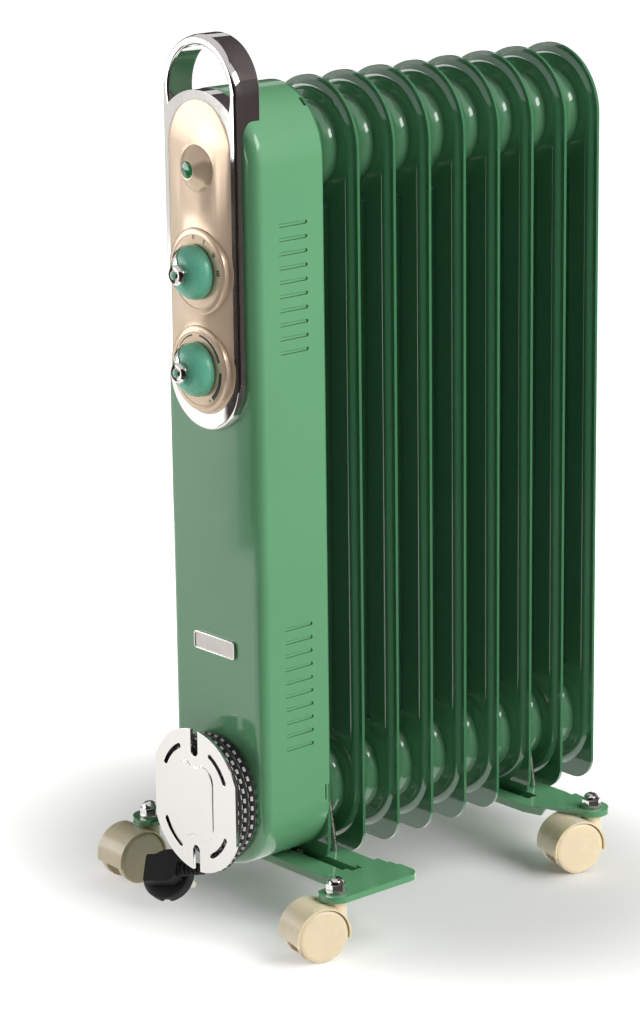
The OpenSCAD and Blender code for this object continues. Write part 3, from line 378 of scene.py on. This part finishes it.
def satin_field():
    made = Finish("satin_field", Metallic=1.0)
    made.shades((0.42, 0.40, 0.38), scale=60, spread=0.08)
    made.into("Roughness", made.spread(made.noise(scale=120, detail=3), 0.3, 0.42))
    made.bump(made.noise(scale=900, detail=2, stretch=(1, 1, 12)), distance=0.00003, strength=0.4)
    return made


def dial_ink():
    made = Finish("dial_ink")
    made.shades((0.03, 0.027, 0.024), scale=300, spread=0.3)
    made.into("Roughness", made.spread(made.noise(scale=500, detail=2), 0.4, 0.6))
    return made


FINISH_MAKERS = {
    "green_enamel": enamel, "section_enamel_painted_shade": shaded_section_enamel, "chrome": chrome, "cream_panel": panel_plastic,
    "teal_knob": knob_plastic, "green_lens": lens_plastic, "pale_moulding": pale_plastic,
    "black_moulding": black_plastic, "zinc_steel": zinc, "bright_brass": pin_metal, "wire_sleeve": sleeve,
    "black_rubber": rubber, "braid": braid, "castor_cream": castor_plastic, "dial_ink": dial_ink,
    "satin_field": satin_field,
}


# Forms


MERGE_DISTANCE = 4e-6
FLAT_ANGLE = math.radians(0.5)


def cad_form(node, whole=True):
    """A merged copy of a CAD node's mesh, with its flat faces made whole unless it is crowned."""
    form = bmesh.new()
    form.from_mesh(NODES[node].data)
    bmesh.ops.remove_doubles(form, verts=form.verts, dist=MERGE_DISTANCE)
    if whole:
        bmesh.ops.dissolve_limit(
            form, angle_limit=FLAT_ANGLE, use_dissolve_boundaries=False,
            verts=form.verts, edges=form.edges,
        )
    return form


def sharp_edges(form, degrees, where=None):
    return [
        edge for edge in form.edges
        if len(edge.link_faces) == 2 and edge.calc_face_angle(0) > math.radians(degrees)
        and (where is None or where(edge))
    ]


def soften(form, width, steps=2, degrees=40, where=None):
    """Rounds the edges of a form that turn by more than so many degrees."""
    edges = sharp_edges(form, degrees, where)
    if edges:
        bmesh.ops.bevel(
            form, geom=edges, offset=width, offset_type="OFFSET", segments=steps, profile=0.5,
            affect="EDGES", clamp_overlap=True, material=-1,
        )


def turned(outline, centre, steps=64, axis=(0, 1, 0)):
    """Turns an outline of radius and distance along the axis about a line through centre."""
    form = bmesh.new()
    axis = Vector(axis).normalized()
    side = axis.orthogonal().normalized()
    across = axis.cross(side)
    rings = []
    for r, d in outline:
        middle = Vector(centre) + axis * d
        if r:
            rings.append([
                form.verts.new(middle + r * (math.cos(a) * side + math.sin(a) * across))
                for a in (2 * math.pi * k / steps for k in range(steps))
            ])
        else:
            rings.append([form.verts.new(middle)] * steps)
    for near, far in zip(rings, rings[1:]):
        for k in range(steps):
            n = (k + 1) % steps
            # A face at the axis has two corners in one place, which count once
            form.faces.new(list(dict.fromkeys((near[k], near[n], far[n], far[k]))))
    bmesh.ops.recalc_face_normals(form, faces=form.faces)
    return form


def piece(form, name, slot, nodes=(), body="root", seam=32, even=True):
    """Makes an object of a form, gives it its finish and sets it on its body."""
    for face in form.faces:
        face.smooth = True
    for edge in form.edges:
        edge.smooth = True
    for edge in sharp_edges(form, seam):
        edge.smooth = False
    mesh = bpy.data.meshes.new(name)
    form.to_mesh(mesh)
    form.free()
    made = bpy.data.objects.new(name, mesh)
    bpy.context.scene.collection.objects.link(made)
    mesh.materials.append(finish(slot))
    if even:
        normals = made.modifiers.new("even_normals", "WEIGHTED_NORMAL")
        normals.keep_sharp = True
    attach(made, body)
    if nodes:
        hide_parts(*nodes)
    return made


def dress(node, name, slot, width=0.0, steps=2, degrees=40, seam=32, where=None):
    """A refined copy of a CAD node that stands for it."""
    form = cad_form(node)
    if width:
        soften(form, width, steps, degrees, where)
    return piece(form, name, slot, [node], NODES[node]["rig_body"], seam)


def coat(node, slot):
    """Gives a CAD node its finish."""
    mesh = NODES[node].data
    mesh.materials.clear()
    mesh.materials.append(finish(slot))


# Stage


# Strength of the world's own light, and of the white that reflections and glass see
WORLD_LIGHT = 0.08
MIRRORED_LIGHT = 0.8
MIRRORED_FLOOR = 0.82
FLOOR_SIZE = 16
# The camera sees the floor with a painted glow: low under the object, so that its shade and shadows show
# there, and fading to white between these distances from its middle
FLOOR_GLOW = 0.06
FLOOR_FADE = (0.10, 0.36)
FLOOR_SPREAD = (0.7, 1, 0)
FLOOR_SHIFT = (-0.005, -0.025, 0)
# The camera's focal length and sensor height, its place, the ways its back and right side face, and its roll
LENS, SENSOR, VIEW_END = 120.89, 36, 40
CAMERA_AT = (1853.7, -1561.9, 961.7)
CAMERA_BACK = (0.730, -0.630, 0.2635)
CAMERA_RIGHT = (0.653, 0.757, 0)
CAMERA_ROLL = -0.72
LAMP_TARGET = (0, 0, 0.33)
# Name, place, size and power of each lamp
LAMPS = (
    ("key_lamp", (2.7, 0.9, 1.5), (2.2, 2.2), 92),
    ("top_lamp", (0.8, 1.7, 2.3), (1.8, 1.8), 42),
    ("front_lamp", (-2.1, -1.8, 0.85), (1.8, 1.2), 24),
    ("low_lamp", (-0.9, -1.5, 0.3), (0.9, 0.4), 4),
)
# Name, place, size, turn about X and Z in degrees, and shade of each card
DARK_CARDS = (
    ("right_card", (0.95, 0.62, 0.5), (2.0, 1.0), (90, -57), (0.16, 0.13, 0.13)),
    ("sky_card", (-0.1, 1.3, 1.75), (3.3, 1.9), (127, -25), (0.24, 0.2, 0.2)),
    ("left_card", (-0.95, 0.45, 0.5), (1.2, 1.0), (90, 64.5), (0.05, 0.045, 0.043)),
    ("front_card", (0.0, -1.15, 0.5), (0.6, 1.0), (90, 0), (0.03, 0.026, 0.024)),
    ("near_card", (-0.132, -0.454, 0.36), (0.25, 0.32), (90, 130.8), (0.04, 0.03, 0.026)),
    ("mat_card", (0.75, 0.1, 0.002), (1.3, 2.2), (0, 0), (0.10, 0.09, 0.088)),
    ("camera_card", (0.66, -0.72, 0.5), (1.5, 1.0), (90, 43), (0.03, 0.026, 0.024)),
)


class RADIATOR_OT_stage(bpy.types.Operator):
    """Sets up the camera, the floor and the lamps"""

    bl_idname = "radiator.stage"
    bl_label = "Stage"

    def execute(self, context):
        scene = context.scene
        scene.view_settings.view_transform = "Standard"
        self.camera(scene)
        self.floor()
        self.cards()
        self.lamps(scene)
        self.world(scene)
        return {"FINISHED"}

    def camera(self, scene):
        lens = bpy.data.cameras.new("camera")
        lens.sensor_fit = "VERTICAL"
        lens.sensor_height = SENSOR
        lens.lens = LENS
        lens.clip_end = VIEW_END
        view = bpy.data.objects.new("camera", lens)
        scene.collection.objects.link(view)
        back = Vector(CAMERA_BACK).normalized()
        right = Vector(CAMERA_RIGHT).normalized()
        up = back.cross(right)
        turn = Matrix((right, up, back)).transposed() @ Matrix.Rotation(math.radians(CAMERA_ROLL), 3, "Z")
        view.matrix_world = Matrix.Translation(at(*CAMERA_AT)) @ turn.to_4x4()
        scene.camera = view

    def flat(self, name, place, size, turn, material):
        """A flat stage piece: the floor, or a card that only reflections see."""
        form = bmesh.new()
        bmesh.ops.create_grid(form, x_segments=1, y_segments=1, size=0.5)
        bmesh.ops.scale(form, vec=(*size, 1), verts=form.verts)
        mesh = bpy.data.meshes.new(name)
        form.to_mesh(mesh)
        form.free()
        made = bpy.data.objects.new(name, mesh)
        made.location = place
        made.rotation_euler = turn
        bpy.context.scene.collection.objects.link(made)
        mesh.materials.append(material)
        return made

    def floor(self):
        paper = Finish("floor_paper", Roughness=0.9, Specular_IOR_Level=0.0)
        paper.shades((0.72, 0.715, 0.70), scale=3, spread=0.01)
        seen = paper.tree.nodes.new("ShaderNodeLightPath")
        mirrored = paper.calc("MAXIMUM", seen.outputs["Is Glossy Ray"], seen.outputs["Is Transmission Ray"])
        spread = paper.node(
            "ShaderNodeVectorMath", {0: paper.place, 1: FLOOR_SPREAD, 2: FLOOR_SHIFT},
            operation="MULTIPLY_ADD",
        )
        far = paper.node("ShaderNodeVectorMath", {0: spread}, output=1, operation="LENGTH")
        start, end = FLOOR_FADE
        glow = paper.node(
            "ShaderNodeMapRange",
            {"Value": far, "From Min": start, "From Max": end, "To Min": FLOOR_GLOW, "To Max": 1.0},
            interpolation_type="SMOOTHSTEP",
        )
        paper.shader.inputs["Emission Color"].default_value = (1, 1, 0.99, 1)
        shown = paper.calc("MULTIPLY", seen.outputs["Is Camera Ray"], glow)
        mirrored = paper.calc("MULTIPLY", mirrored, MIRRORED_FLOOR)
        paper.into("Emission Strength", paper.calc("MAXIMUM", shown, mirrored))
        self.flat("floor", (0, 0, 0), (FLOOR_SIZE, FLOOR_SIZE), (0, 0, 0), paper.material)

    def cards(self):
        """Dark cards beside the lamps, for the plated and enamelled parts to reflect."""
        for name, place, size, (tilt, swing), shade in DARK_CARDS:
            dark = Finish(f"{name}_cloth", Roughness=0.95, Specular_IOR_Level=0.0)
            dark.shades(shade, scale=4, spread=0.1)
            turn = (math.radians(tilt), 0, math.radians(swing))
            card = self.flat(name, place, size, turn, dark.material)
            card.visible_camera = False
            card.visible_diffuse = False
            card.visible_shadow = False

    def lamps(self, scene):
        target = Vector(LAMP_TARGET)
        for name, place, size, power in LAMPS:
            light = bpy.data.lights.new(name, "AREA")
            light.shape = "RECTANGLE"
            light.size, light.size_y = size
            light.energy = power
            lamp = bpy.data.objects.new(name, light)
            lamp.location = place
            lamp.rotation_euler = (target - Vector(place)).to_track_quat("-Z", "Y").to_euler()
            scene.collection.objects.link(lamp)

    def world(self, scene):
        """A soft world that shows white behind the floor and in reflections."""
        world = bpy.data.worlds.new("studio")
        scene.world = world
        world.use_nodes = True
        tree = world.node_tree
        soft = tree.nodes["Background"]
        soft.inputs["Color"].default_value = (1, 0.99, 0.98, 1)
        soft.inputs["Strength"].default_value = WORLD_LIGHT
        plain = tree.nodes.new("ShaderNodeBackground")
        plain.inputs["Color"].default_value = (1, 1, 1, 1)
        seen = tree.nodes.new("ShaderNodeLightPath")
        direct = seen.outputs["Is Camera Ray"]
        bright = tree.nodes.new("ShaderNodeMath")
        bright.operation = "MULTIPLY_ADD"
        tree.links.new(direct, bright.inputs[0])
        bright.inputs[1].default_value = 1 - MIRRORED_LIGHT
        bright.inputs[2].default_value = MIRRORED_LIGHT
        tree.links.new(bright.outputs[0], plain.inputs["Strength"])
        for ray in ("Is Glossy Ray", "Is Transmission Ray"):
            either = tree.nodes.new("ShaderNodeMath")
            either.operation = "MAXIMUM"
            tree.links.new(direct, either.inputs[0])
            tree.links.new(seen.outputs[ray], either.inputs[1])
            direct = either.outputs[0]
        mixed = tree.nodes.new("ShaderNodeMixShader")
        tree.links.new(direct, mixed.inputs[0])
        tree.links.new(soft.outputs[0], mixed.inputs[1])
        tree.links.new(plain.outputs[0], mixed.inputs[2])
        tree.links.new(mixed.outputs[0], tree.nodes["World Output"].inputs["Surface"])


# Cord, wound on its reel. Its measures are part.scad's, in millimetres

REEL_Z = 97.5
# The drum's halves stand this far above and below its centre, and pass into each other at its sides
DRUM_FLAT, DRUM_BLEND = 3, 6
LAST_ROW_Y = -79.75
ROW_PITCH = 6.3
INNER_R = 35.0
OUTER_R = 41.5
# Turns are in degrees. Each crossing starts at one and goes a row back or forward
CROSSINGS = ((-900, 1), (-484, -1), (-236, -1), (322, 1), (682, 1))
CROSS_TURN = 56
# Between these the cord climbs from the inner layer to the outer one
CLIMB = (5, 55)
WIND_FROM, WIND_TO, WIND_STEP = -900, 1034, 5
# The free end, from the last turn to the strain relief
LEAD = (
    (25.6, -67.2, 61.1), (22.3, -67.2, 57.7), (18.9, -67.2, 54.2), (15.6, -67.2, 50.8), (12.2, -67.2, 47.4),
    (8.5, -67.2, 44.4), (4.4, -67.3, 41.9), (0, -68, 40), (-4.4, -69.2, 38.7), (-8.8, -70.97, 37.88),
    (-10.13, -71.62, 37.65),
)


def ease(s):
    """Goes from 0 to 1 with a soft start and end."""
    s = max(0, min(1, s))
    return s * s * (3 - 2 * s)


def wind_point(turn):
    """A point on the wound cord's centre line, by degrees from the bottom towards the left."""
    row = 1 + sum(way * ease((turn - start) / CROSS_TURN) for start, way in CROSSINGS)
    r = INNER_R + (OUTER_R - INNER_R) * ease((turn - CLIMB[0]) / (CLIMB[1] - CLIMB[0]))
    a = math.radians(turn)
    flat = DRUM_FLAT * max(-1, min(1, DRUM_BLEND * math.cos(a)))
    return at(-r * math.sin(a), LAST_ROW_Y + ROW_PITCH * row, REEL_Z - r * math.cos(a) - flat)


def cord_route():
    turns = [wind_point(turn) for turn in range(WIND_FROM, WIND_TO + 1, WIND_STEP)]
    return turns + [at(*p) for p in LEAD]


def tube(route, radius, sides):
    """A tube with a map that runs along it in metres and round it once."""
    form = bmesh.new()
    along = form.loops.layers.uv.new("along")
    rings, run, lengths = [], 0.0, []
    side = None
    for i, point in enumerate(route):
        ahead = (route[min(i + 1, len(route) - 1)] - route[max(i - 1, 0)]).normalized()
        side = Vector((0, 1, 0)) if side is None else side
        side = (side - ahead * side.dot(ahead)).normalized()
        across = ahead.cross(side)
        run += (point - route[i - 1]).length if i else 0
        lengths.append(run)
        rings.append([
            form.verts.new(point + radius * (math.cos(a) * side + math.sin(a) * across))
            for a in (2 * math.pi * k / sides for k in range(sides))
        ])
    for i in range(len(route) - 1):
        for k in range(sides):
            n = (k + 1) % sides
            face = form.faces.new((rings[i][k], rings[i][n], rings[i + 1][n], rings[i + 1][k]))
            for loop, (u, v) in zip(face.loops, ((i, k), (i, k + 1), (i + 1, k + 1), (i + 1, k))):
                loop[along].uv = (lengths[u], v / sides)
    form.faces.new(reversed(rings[0]))
    form.faces.new(rings[-1])
    bmesh.ops.recalc_face_normals(form, faces=form.faces)
    return form


class RADIATOR_OT_cord(bpy.types.Operator):
    """Winds the braided cord on its reel and makes its plug"""

    bl_idname = "radiator.cord"
    bl_label = "Cord and plug"

    def execute(self, context):
        route = cord_route()
        width = sizes().cord_width
        cord = piece(
            tube(route, width / 2, sizes().cord_sides), "braided_cord", "braid",
            ["cord_core", "cord_winding", "cord_lead"], even=False,
        )
        plug = self.plug()
        relief = self.relief()
        pins = dress("plug_pins", "bright_pins", "bright_brass", width=0.0006, steps=3)
        return {"FINISHED"}

    def plug(self):
        form = cad_form("plug")
        soften(form, width=0.0009, steps=3, degrees=25)
        return piece(form, "moulded_plug", "black_rubber", ["plug"])

    def relief(self):
        form = cad_form("strain_relief")
        soften(form, width=0.00025, steps=2, degrees=40)
        return piece(form, "ribbed_relief", "black_rubber", ["strain_relief"])


# Body

# A vent slot's length and height, the gap round its lip and the lip's depth, in metres
VENT_L, VENT_H, VENT_GAP, VENT_DEPTH = 0.0265, 0.0026, 0.00022, 0.0009
# The slots' rows in millimetres: half the distance between the sides, middle, lowest slots and pitch
VENT_X, VENT_Y = 51.0, -29.1
VENT_STARTS = (139, 433)
VENT_PITCH, VENT_COUNT = 10.1, 10
VENT_TILT = math.radians(1.9)
# The badge plate's field lies behind this
BADGE_FIELD_Y = -65.6


class RADIATOR_OT_sections(bpy.types.Operator):
    """Refines the pressed steel sections"""

    bl_idname = "radiator.sections"
    bl_label = "Sections"

    def execute(self, context):
        for i in range(1, SECTION_COUNT + 1):
            dress(
                f"section_{i}", f"pressed_section_{i}", "section_enamel_painted_shade",
                width=sizes().rim_round, steps=3, degrees=60,
            )
        return {"FINISHED"}


class RADIATOR_OT_cover(bpy.types.Operator):
    """Refines the front cover and its badge place"""

    bl_idname = "radiator.cover"
    bl_label = "Front cover"

    def execute(self, context):
        dress("front_cover", "enamelled_cover", "green_enamel", width=0.0003, steps=2, degrees=50)
        self.louvres()
        self.badge()
        dress("cover_screws", "skirt_screws", "zinc_steel", width=0.0002, steps=2)
        return {"FINISHED"}

    def louvres(self):
        """Pressed lips that lie in the vent slots, flush at the front end and sunk at the back end."""
        form = bmesh.new()
        half = (VENT_L - VENT_H) / 2
        for side in (-1, 1):
            for z in (start + VENT_PITCH * i for start in VENT_STARTS for i in range(VENT_COUNT)):
                rim = bmesh.ops.create_circle(
                    form, cap_ends=True, segments=20, radius=VENT_H / 2 - VENT_GAP,
                )["verts"]
                for vert in rim:
                    vert.co.x += math.copysign(half, vert.co.x)
                grown = bmesh.ops.extrude_face_region(form, geom=rim[0].link_faces[:])["geom"]
                sunk = [item for item in grown if isinstance(item, bmesh.types.BMVert)]
                bmesh.ops.translate(form, vec=(0, 0, -VENT_DEPTH), verts=sunk)
                place = Matrix.Translation(at(side * VENT_X, VENT_Y, z)) @ Matrix(
                    ((0, 0, side, 0), (1, 0, 0, 0), (0, 1, 0, 0), (0, 0, 0, 1))
                ) @ Matrix.Rotation(VENT_TILT, 4, "Y")
                bmesh.ops.transform(form, matrix=place, verts=rim + sunk)
        bmesh.ops.recalc_face_normals(form, faces=form.faces)
        soften(form, width=0.00025, steps=2, degrees=60)
        piece(form, "vent_lips", "green_enamel")

    def badge(self):
        """The bare place where a badge sits, with a satin field inside its bright rim."""
        made = dress("badge_plate", "bare_badge", "chrome", width=0.0003, steps=3)
        made.data.materials.append(finish("satin_field"))
        for face in made.data.polygons:
            if face.normal.y < -0.9 and face.center.y > at(0, BADGE_FIELD_Y, 0).y:
                face.material_index = 1


# Heights of the two dials' centres, and the places of their marks and of the pointers' caps, in millimetres
DIALS = (("selector", 489), ("thermostat", 419))
DIAL_Y, CAP_Y = -74.6, -95.4
# A cap's outline, as radius and distance to the back, in metres
CAP_OUTLINE = (
    (0, -0.0007), (0.0013, -0.0006), (0.0022, -0.0003), (0.0026, 0.0001), (0.0026, 0.0006), (0, 0.0006),
)
# Thickness of the print
INK = 0.00016
# The selector's steps, as angle and number of bars
SELECTOR_BARS = ((68, 1), (36, 2), (5, 3))
BAR_PITCH, BAR_WIDTH, BAR_LENGTH = 3.6, 0.0011, 0.0040
# The open ring that stands for off, as angle on the dial, radius, width and degrees round
OFF_ANGLE, OFF_R, OFF_WIDTH, OFF_ROUND = 96, 0.0011, 0.0006, 340
# The thermostat's growing arcs, as start, end, width at the start and at the end
THERMOSTAT_ARCS = ((150, 105, 0.0006, 0.0012), (86, 19, 0.0014, 0.0024), (2, -52, 0.0026, 0.0034))
# Its plus and its minus, as angle, width and length of each bar
SIGN_BARS = ((-60, 0.0006, 0.0026), (-60, 0.0026, 0.0006), (157, 0.0006, 0.0018))


class RADIATOR_OT_controls(bpy.types.Operator):
    """Refines the handle frame, the panel, its lamp, knobs and marks"""

    bl_idname = "radiator.controls"
    bl_label = "Controls"

    def execute(self, context):
        dress("handle_frame", "chromed_frame", "chrome", width=0.0005, steps=3, degrees=50)
        panel = cad_form("control_panel", whole=False)
        soften(panel, width=0.0004, steps=2, degrees=50)
        piece(panel, "crowned_panel", "cream_panel", ["control_panel"], even=False)
        dress("lamp_lens", "pilot_lens", "green_lens")
        for body, z in DIALS:
            dress(f"{body}_knob", f"{body}_dome", "teal_knob", width=0.0003, steps=2)
            dress(f"{body}_pointer", f"{body}_bright_pointer", "chrome", width=0.0004, steps=3)
            coat(f"{body}_spindle", "zinc_steel")
            piece(turned(CAP_OUTLINE, at(0, CAP_Y, z), steps=32), f"{body}_cap", "teal_knob", body=body)
        self.marks()
        return {"FINISHED"}

    def bar(self, form, centre, r, angle, width, length):
        """A printed bar whose length points away from a dial's centre."""
        a = math.radians(angle)
        out = Vector((math.cos(a), 0, math.sin(a)))
        made = bmesh.ops.create_cube(form, size=1.0)["verts"]
        place = Matrix.Translation(centre + out * r) @ Matrix.Rotation(math.pi / 2 - a, 4, "Y")
        bmesh.ops.transform(form, matrix=place @ Matrix.Diagonal((width, INK, length, 1)), verts=made)

    def arc(self, form, centre, r, start, end, width_start, width_end, steps=22):
        """A printed arc that may grow wider along its way."""
        rows = []
        for i in range(steps + 1):
            t = i / steps
            a = math.radians(start + (end - start) * t)
            half = (width_start + (width_end - width_start) * t) / 2
            out = Vector((math.cos(a), 0, math.sin(a)))
            rows.append([
                form.verts.new(centre + out * (r + s * half) + Vector((0, d, 0)))
                for s, d in ((-1, INK / 2), (1, INK / 2), (1, -INK / 2), (-1, -INK / 2))
            ])
        for a, b in zip(rows, rows[1:]):
            for k in range(4):
                form.faces.new((a[k], a[(k + 1) % 4], b[(k + 1) % 4], b[k]))
        form.faces.new(rows[0])
        form.faces.new(reversed(rows[-1]))

    def marks(self):
        """The dials' printed marks: steps on the upper one, growing arcs on the lower one."""
        form = bmesh.new()
        r = sizes().mark_radius
        upper, lower = (at(0, DIAL_Y, z) for body, z in DIALS)
        off = math.radians(OFF_ANGLE)
        ring = upper + Vector((math.cos(off), 0, math.sin(off))) * r
        self.arc(form, ring, OFF_R, 0, OFF_ROUND, OFF_WIDTH, OFF_WIDTH, steps=16)
        for angle, bars in SELECTOR_BARS:
            for i in range(bars):
                self.bar(form, upper, r, angle + (i - (bars - 1) / 2) * BAR_PITCH, BAR_WIDTH, BAR_LENGTH)
        for start, end, width_start, width_end in THERMOSTAT_ARCS:
            self.arc(form, lower, r, start, end, width_start, width_end)
        for angle, width, length in SIGN_BARS:
            self.bar(form, lower, r, angle, width, length)
        bmesh.ops.recalc_face_normals(form, faces=form.faces)
        piece(form, "dial_marks", "dial_ink", even=False)


class RADIATOR_OT_reel(bpy.types.Operator):
    """Refines the reel that the cord is wound on"""

    bl_idname = "radiator.reel"
    bl_label = "Cord reel"

    def execute(self, context):
        dress("reel_plate", "chromed_reel_plate", "chrome", width=0.0005, steps=3, degrees=50)
        coat("reel_drum", "black_moulding")
        coat("reel_screws", "zinc_steel")
        coat("cord_gland", "black_rubber")
        return {"FINISHED"}


class RADIATOR_OT_feet(bpy.types.Operator):
    """Refines the feet and what fastens them"""

    bl_idname = "radiator.feet"
    bl_label = "Feet"

    def execute(self, context):
        for end in ("front", "rear"):
            dress(
                f"{end}_foot", f"enamelled_{end}_foot", "green_enamel",
                width=sizes().sheet_round, steps=2, degrees=45,
            )
            dress(f"{end}_u_bolt", f"plated_{end}_u_bolt", "zinc_steel")
        dress("wing_nuts", "plated_wing_nuts", "zinc_steel", width=0.0003, steps=2)
        dress("castor_washers", "plated_washers", "zinc_steel", width=0.0003, steps=2)
        dress("cap_nuts", "bright_cap_nuts", "chrome", width=0.0003, steps=2)
        coat("castor_stems", "zinc_steel")
        return {"FINISHED"}


class RADIATOR_OT_castors(bpy.types.Operator):
    """Refines the four castors"""

    bl_idname = "radiator.castors"
    bl_label = "Castors"

    def execute(self, context):
        for corner in CASTORS:
            dress(f"hood_{corner}", f"moulded_hood_{corner}", "castor_cream", width=0.0005, steps=2)
            dress(f"wheels_{corner}", f"moulded_wheels_{corner}", "castor_cream", width=0.0007, steps=3)
        return {"FINISHED"}


INNER_PARTS = (
    ("lamp_holder", "pale_moulding"), ("control_bracket", "zinc_steel"),
    ("selector_switch", "black_moulding"), ("thermostat_body", "pale_moulding"),
    ("thermal_cutout", "zinc_steel"), ("terminal_block", "pale_moulding"),
    ("wiring", "wire_sleeve"), ("heating_element", "zinc_steel"), ("filler_plug", "zinc_steel"),
)


class RADIATOR_OT_inner_parts(bpy.types.Operator):
    """Gives the hidden parts their finishes"""

    bl_idname = "radiator.inner_parts"
    bl_label = "Inner parts"

    def execute(self, context):
        for node, slot in INNER_PARTS:
            coat(node, slot)
        return {"FINISHED"}


# Panel and running


STEPS = (
    RADIATOR_OT_stage, RADIATOR_OT_cord, RADIATOR_OT_sections, RADIATOR_OT_cover, RADIATOR_OT_controls,
    RADIATOR_OT_reel, RADIATOR_OT_feet, RADIATOR_OT_castors, RADIATOR_OT_inner_parts,
)


class RADIATOR_PT_pieces(bpy.types.Panel):
    """Lists the sizes, the colours and the pieces"""

    bl_idname = "RADIATOR_PT_pieces"
    bl_label = "Oil-filled Radiator"
    bl_space_type = "VIEW_3D"
    bl_region_type = "UI"
    bl_category = "Radiator"

    def draw(self, context):
        layout = self.layout
        for group in (context.scene.radiator_sizes, context.scene.radiator_colours):
            for name in group.bl_rna.properties.keys():
                if name not in ("rna_type", "name"):
                    layout.prop(group, name)
        for step in STEPS:
            layout.operator(step.bl_idname)


CLASSES = (RadiatorSizes, RadiatorColours, *STEPS, RADIATOR_PT_pieces)


def register():
    for item in CLASSES:
        bpy.utils.register_class(item)
    bpy.types.Scene.radiator_sizes = PointerProperty(type=RadiatorSizes)
    bpy.types.Scene.radiator_colours = PointerProperty(type=RadiatorColours)


def unregister():
    del bpy.types.Scene.radiator_colours
    del bpy.types.Scene.radiator_sizes
    for item in reversed(CLASSES):
        bpy.utils.unregister_class(item)


def plain(box):
    """A box as plain lists of numbers."""
    return [[float(value) for value in corner] for corner in box]


def main():
    register()
    bpy.ops.radiator.stage()
    bpy.ops.radiator.cord()
    bpy.ops.radiator.sections()
    bpy.ops.radiator.cover()
    bpy.ops.radiator.controls()
    bpy.ops.radiator.reel()
    bpy.ops.radiator.feet()
    bpy.ops.radiator.castors()
    bpy.ops.radiator.inner_parts()


if __name__ == "__main__":
    main()
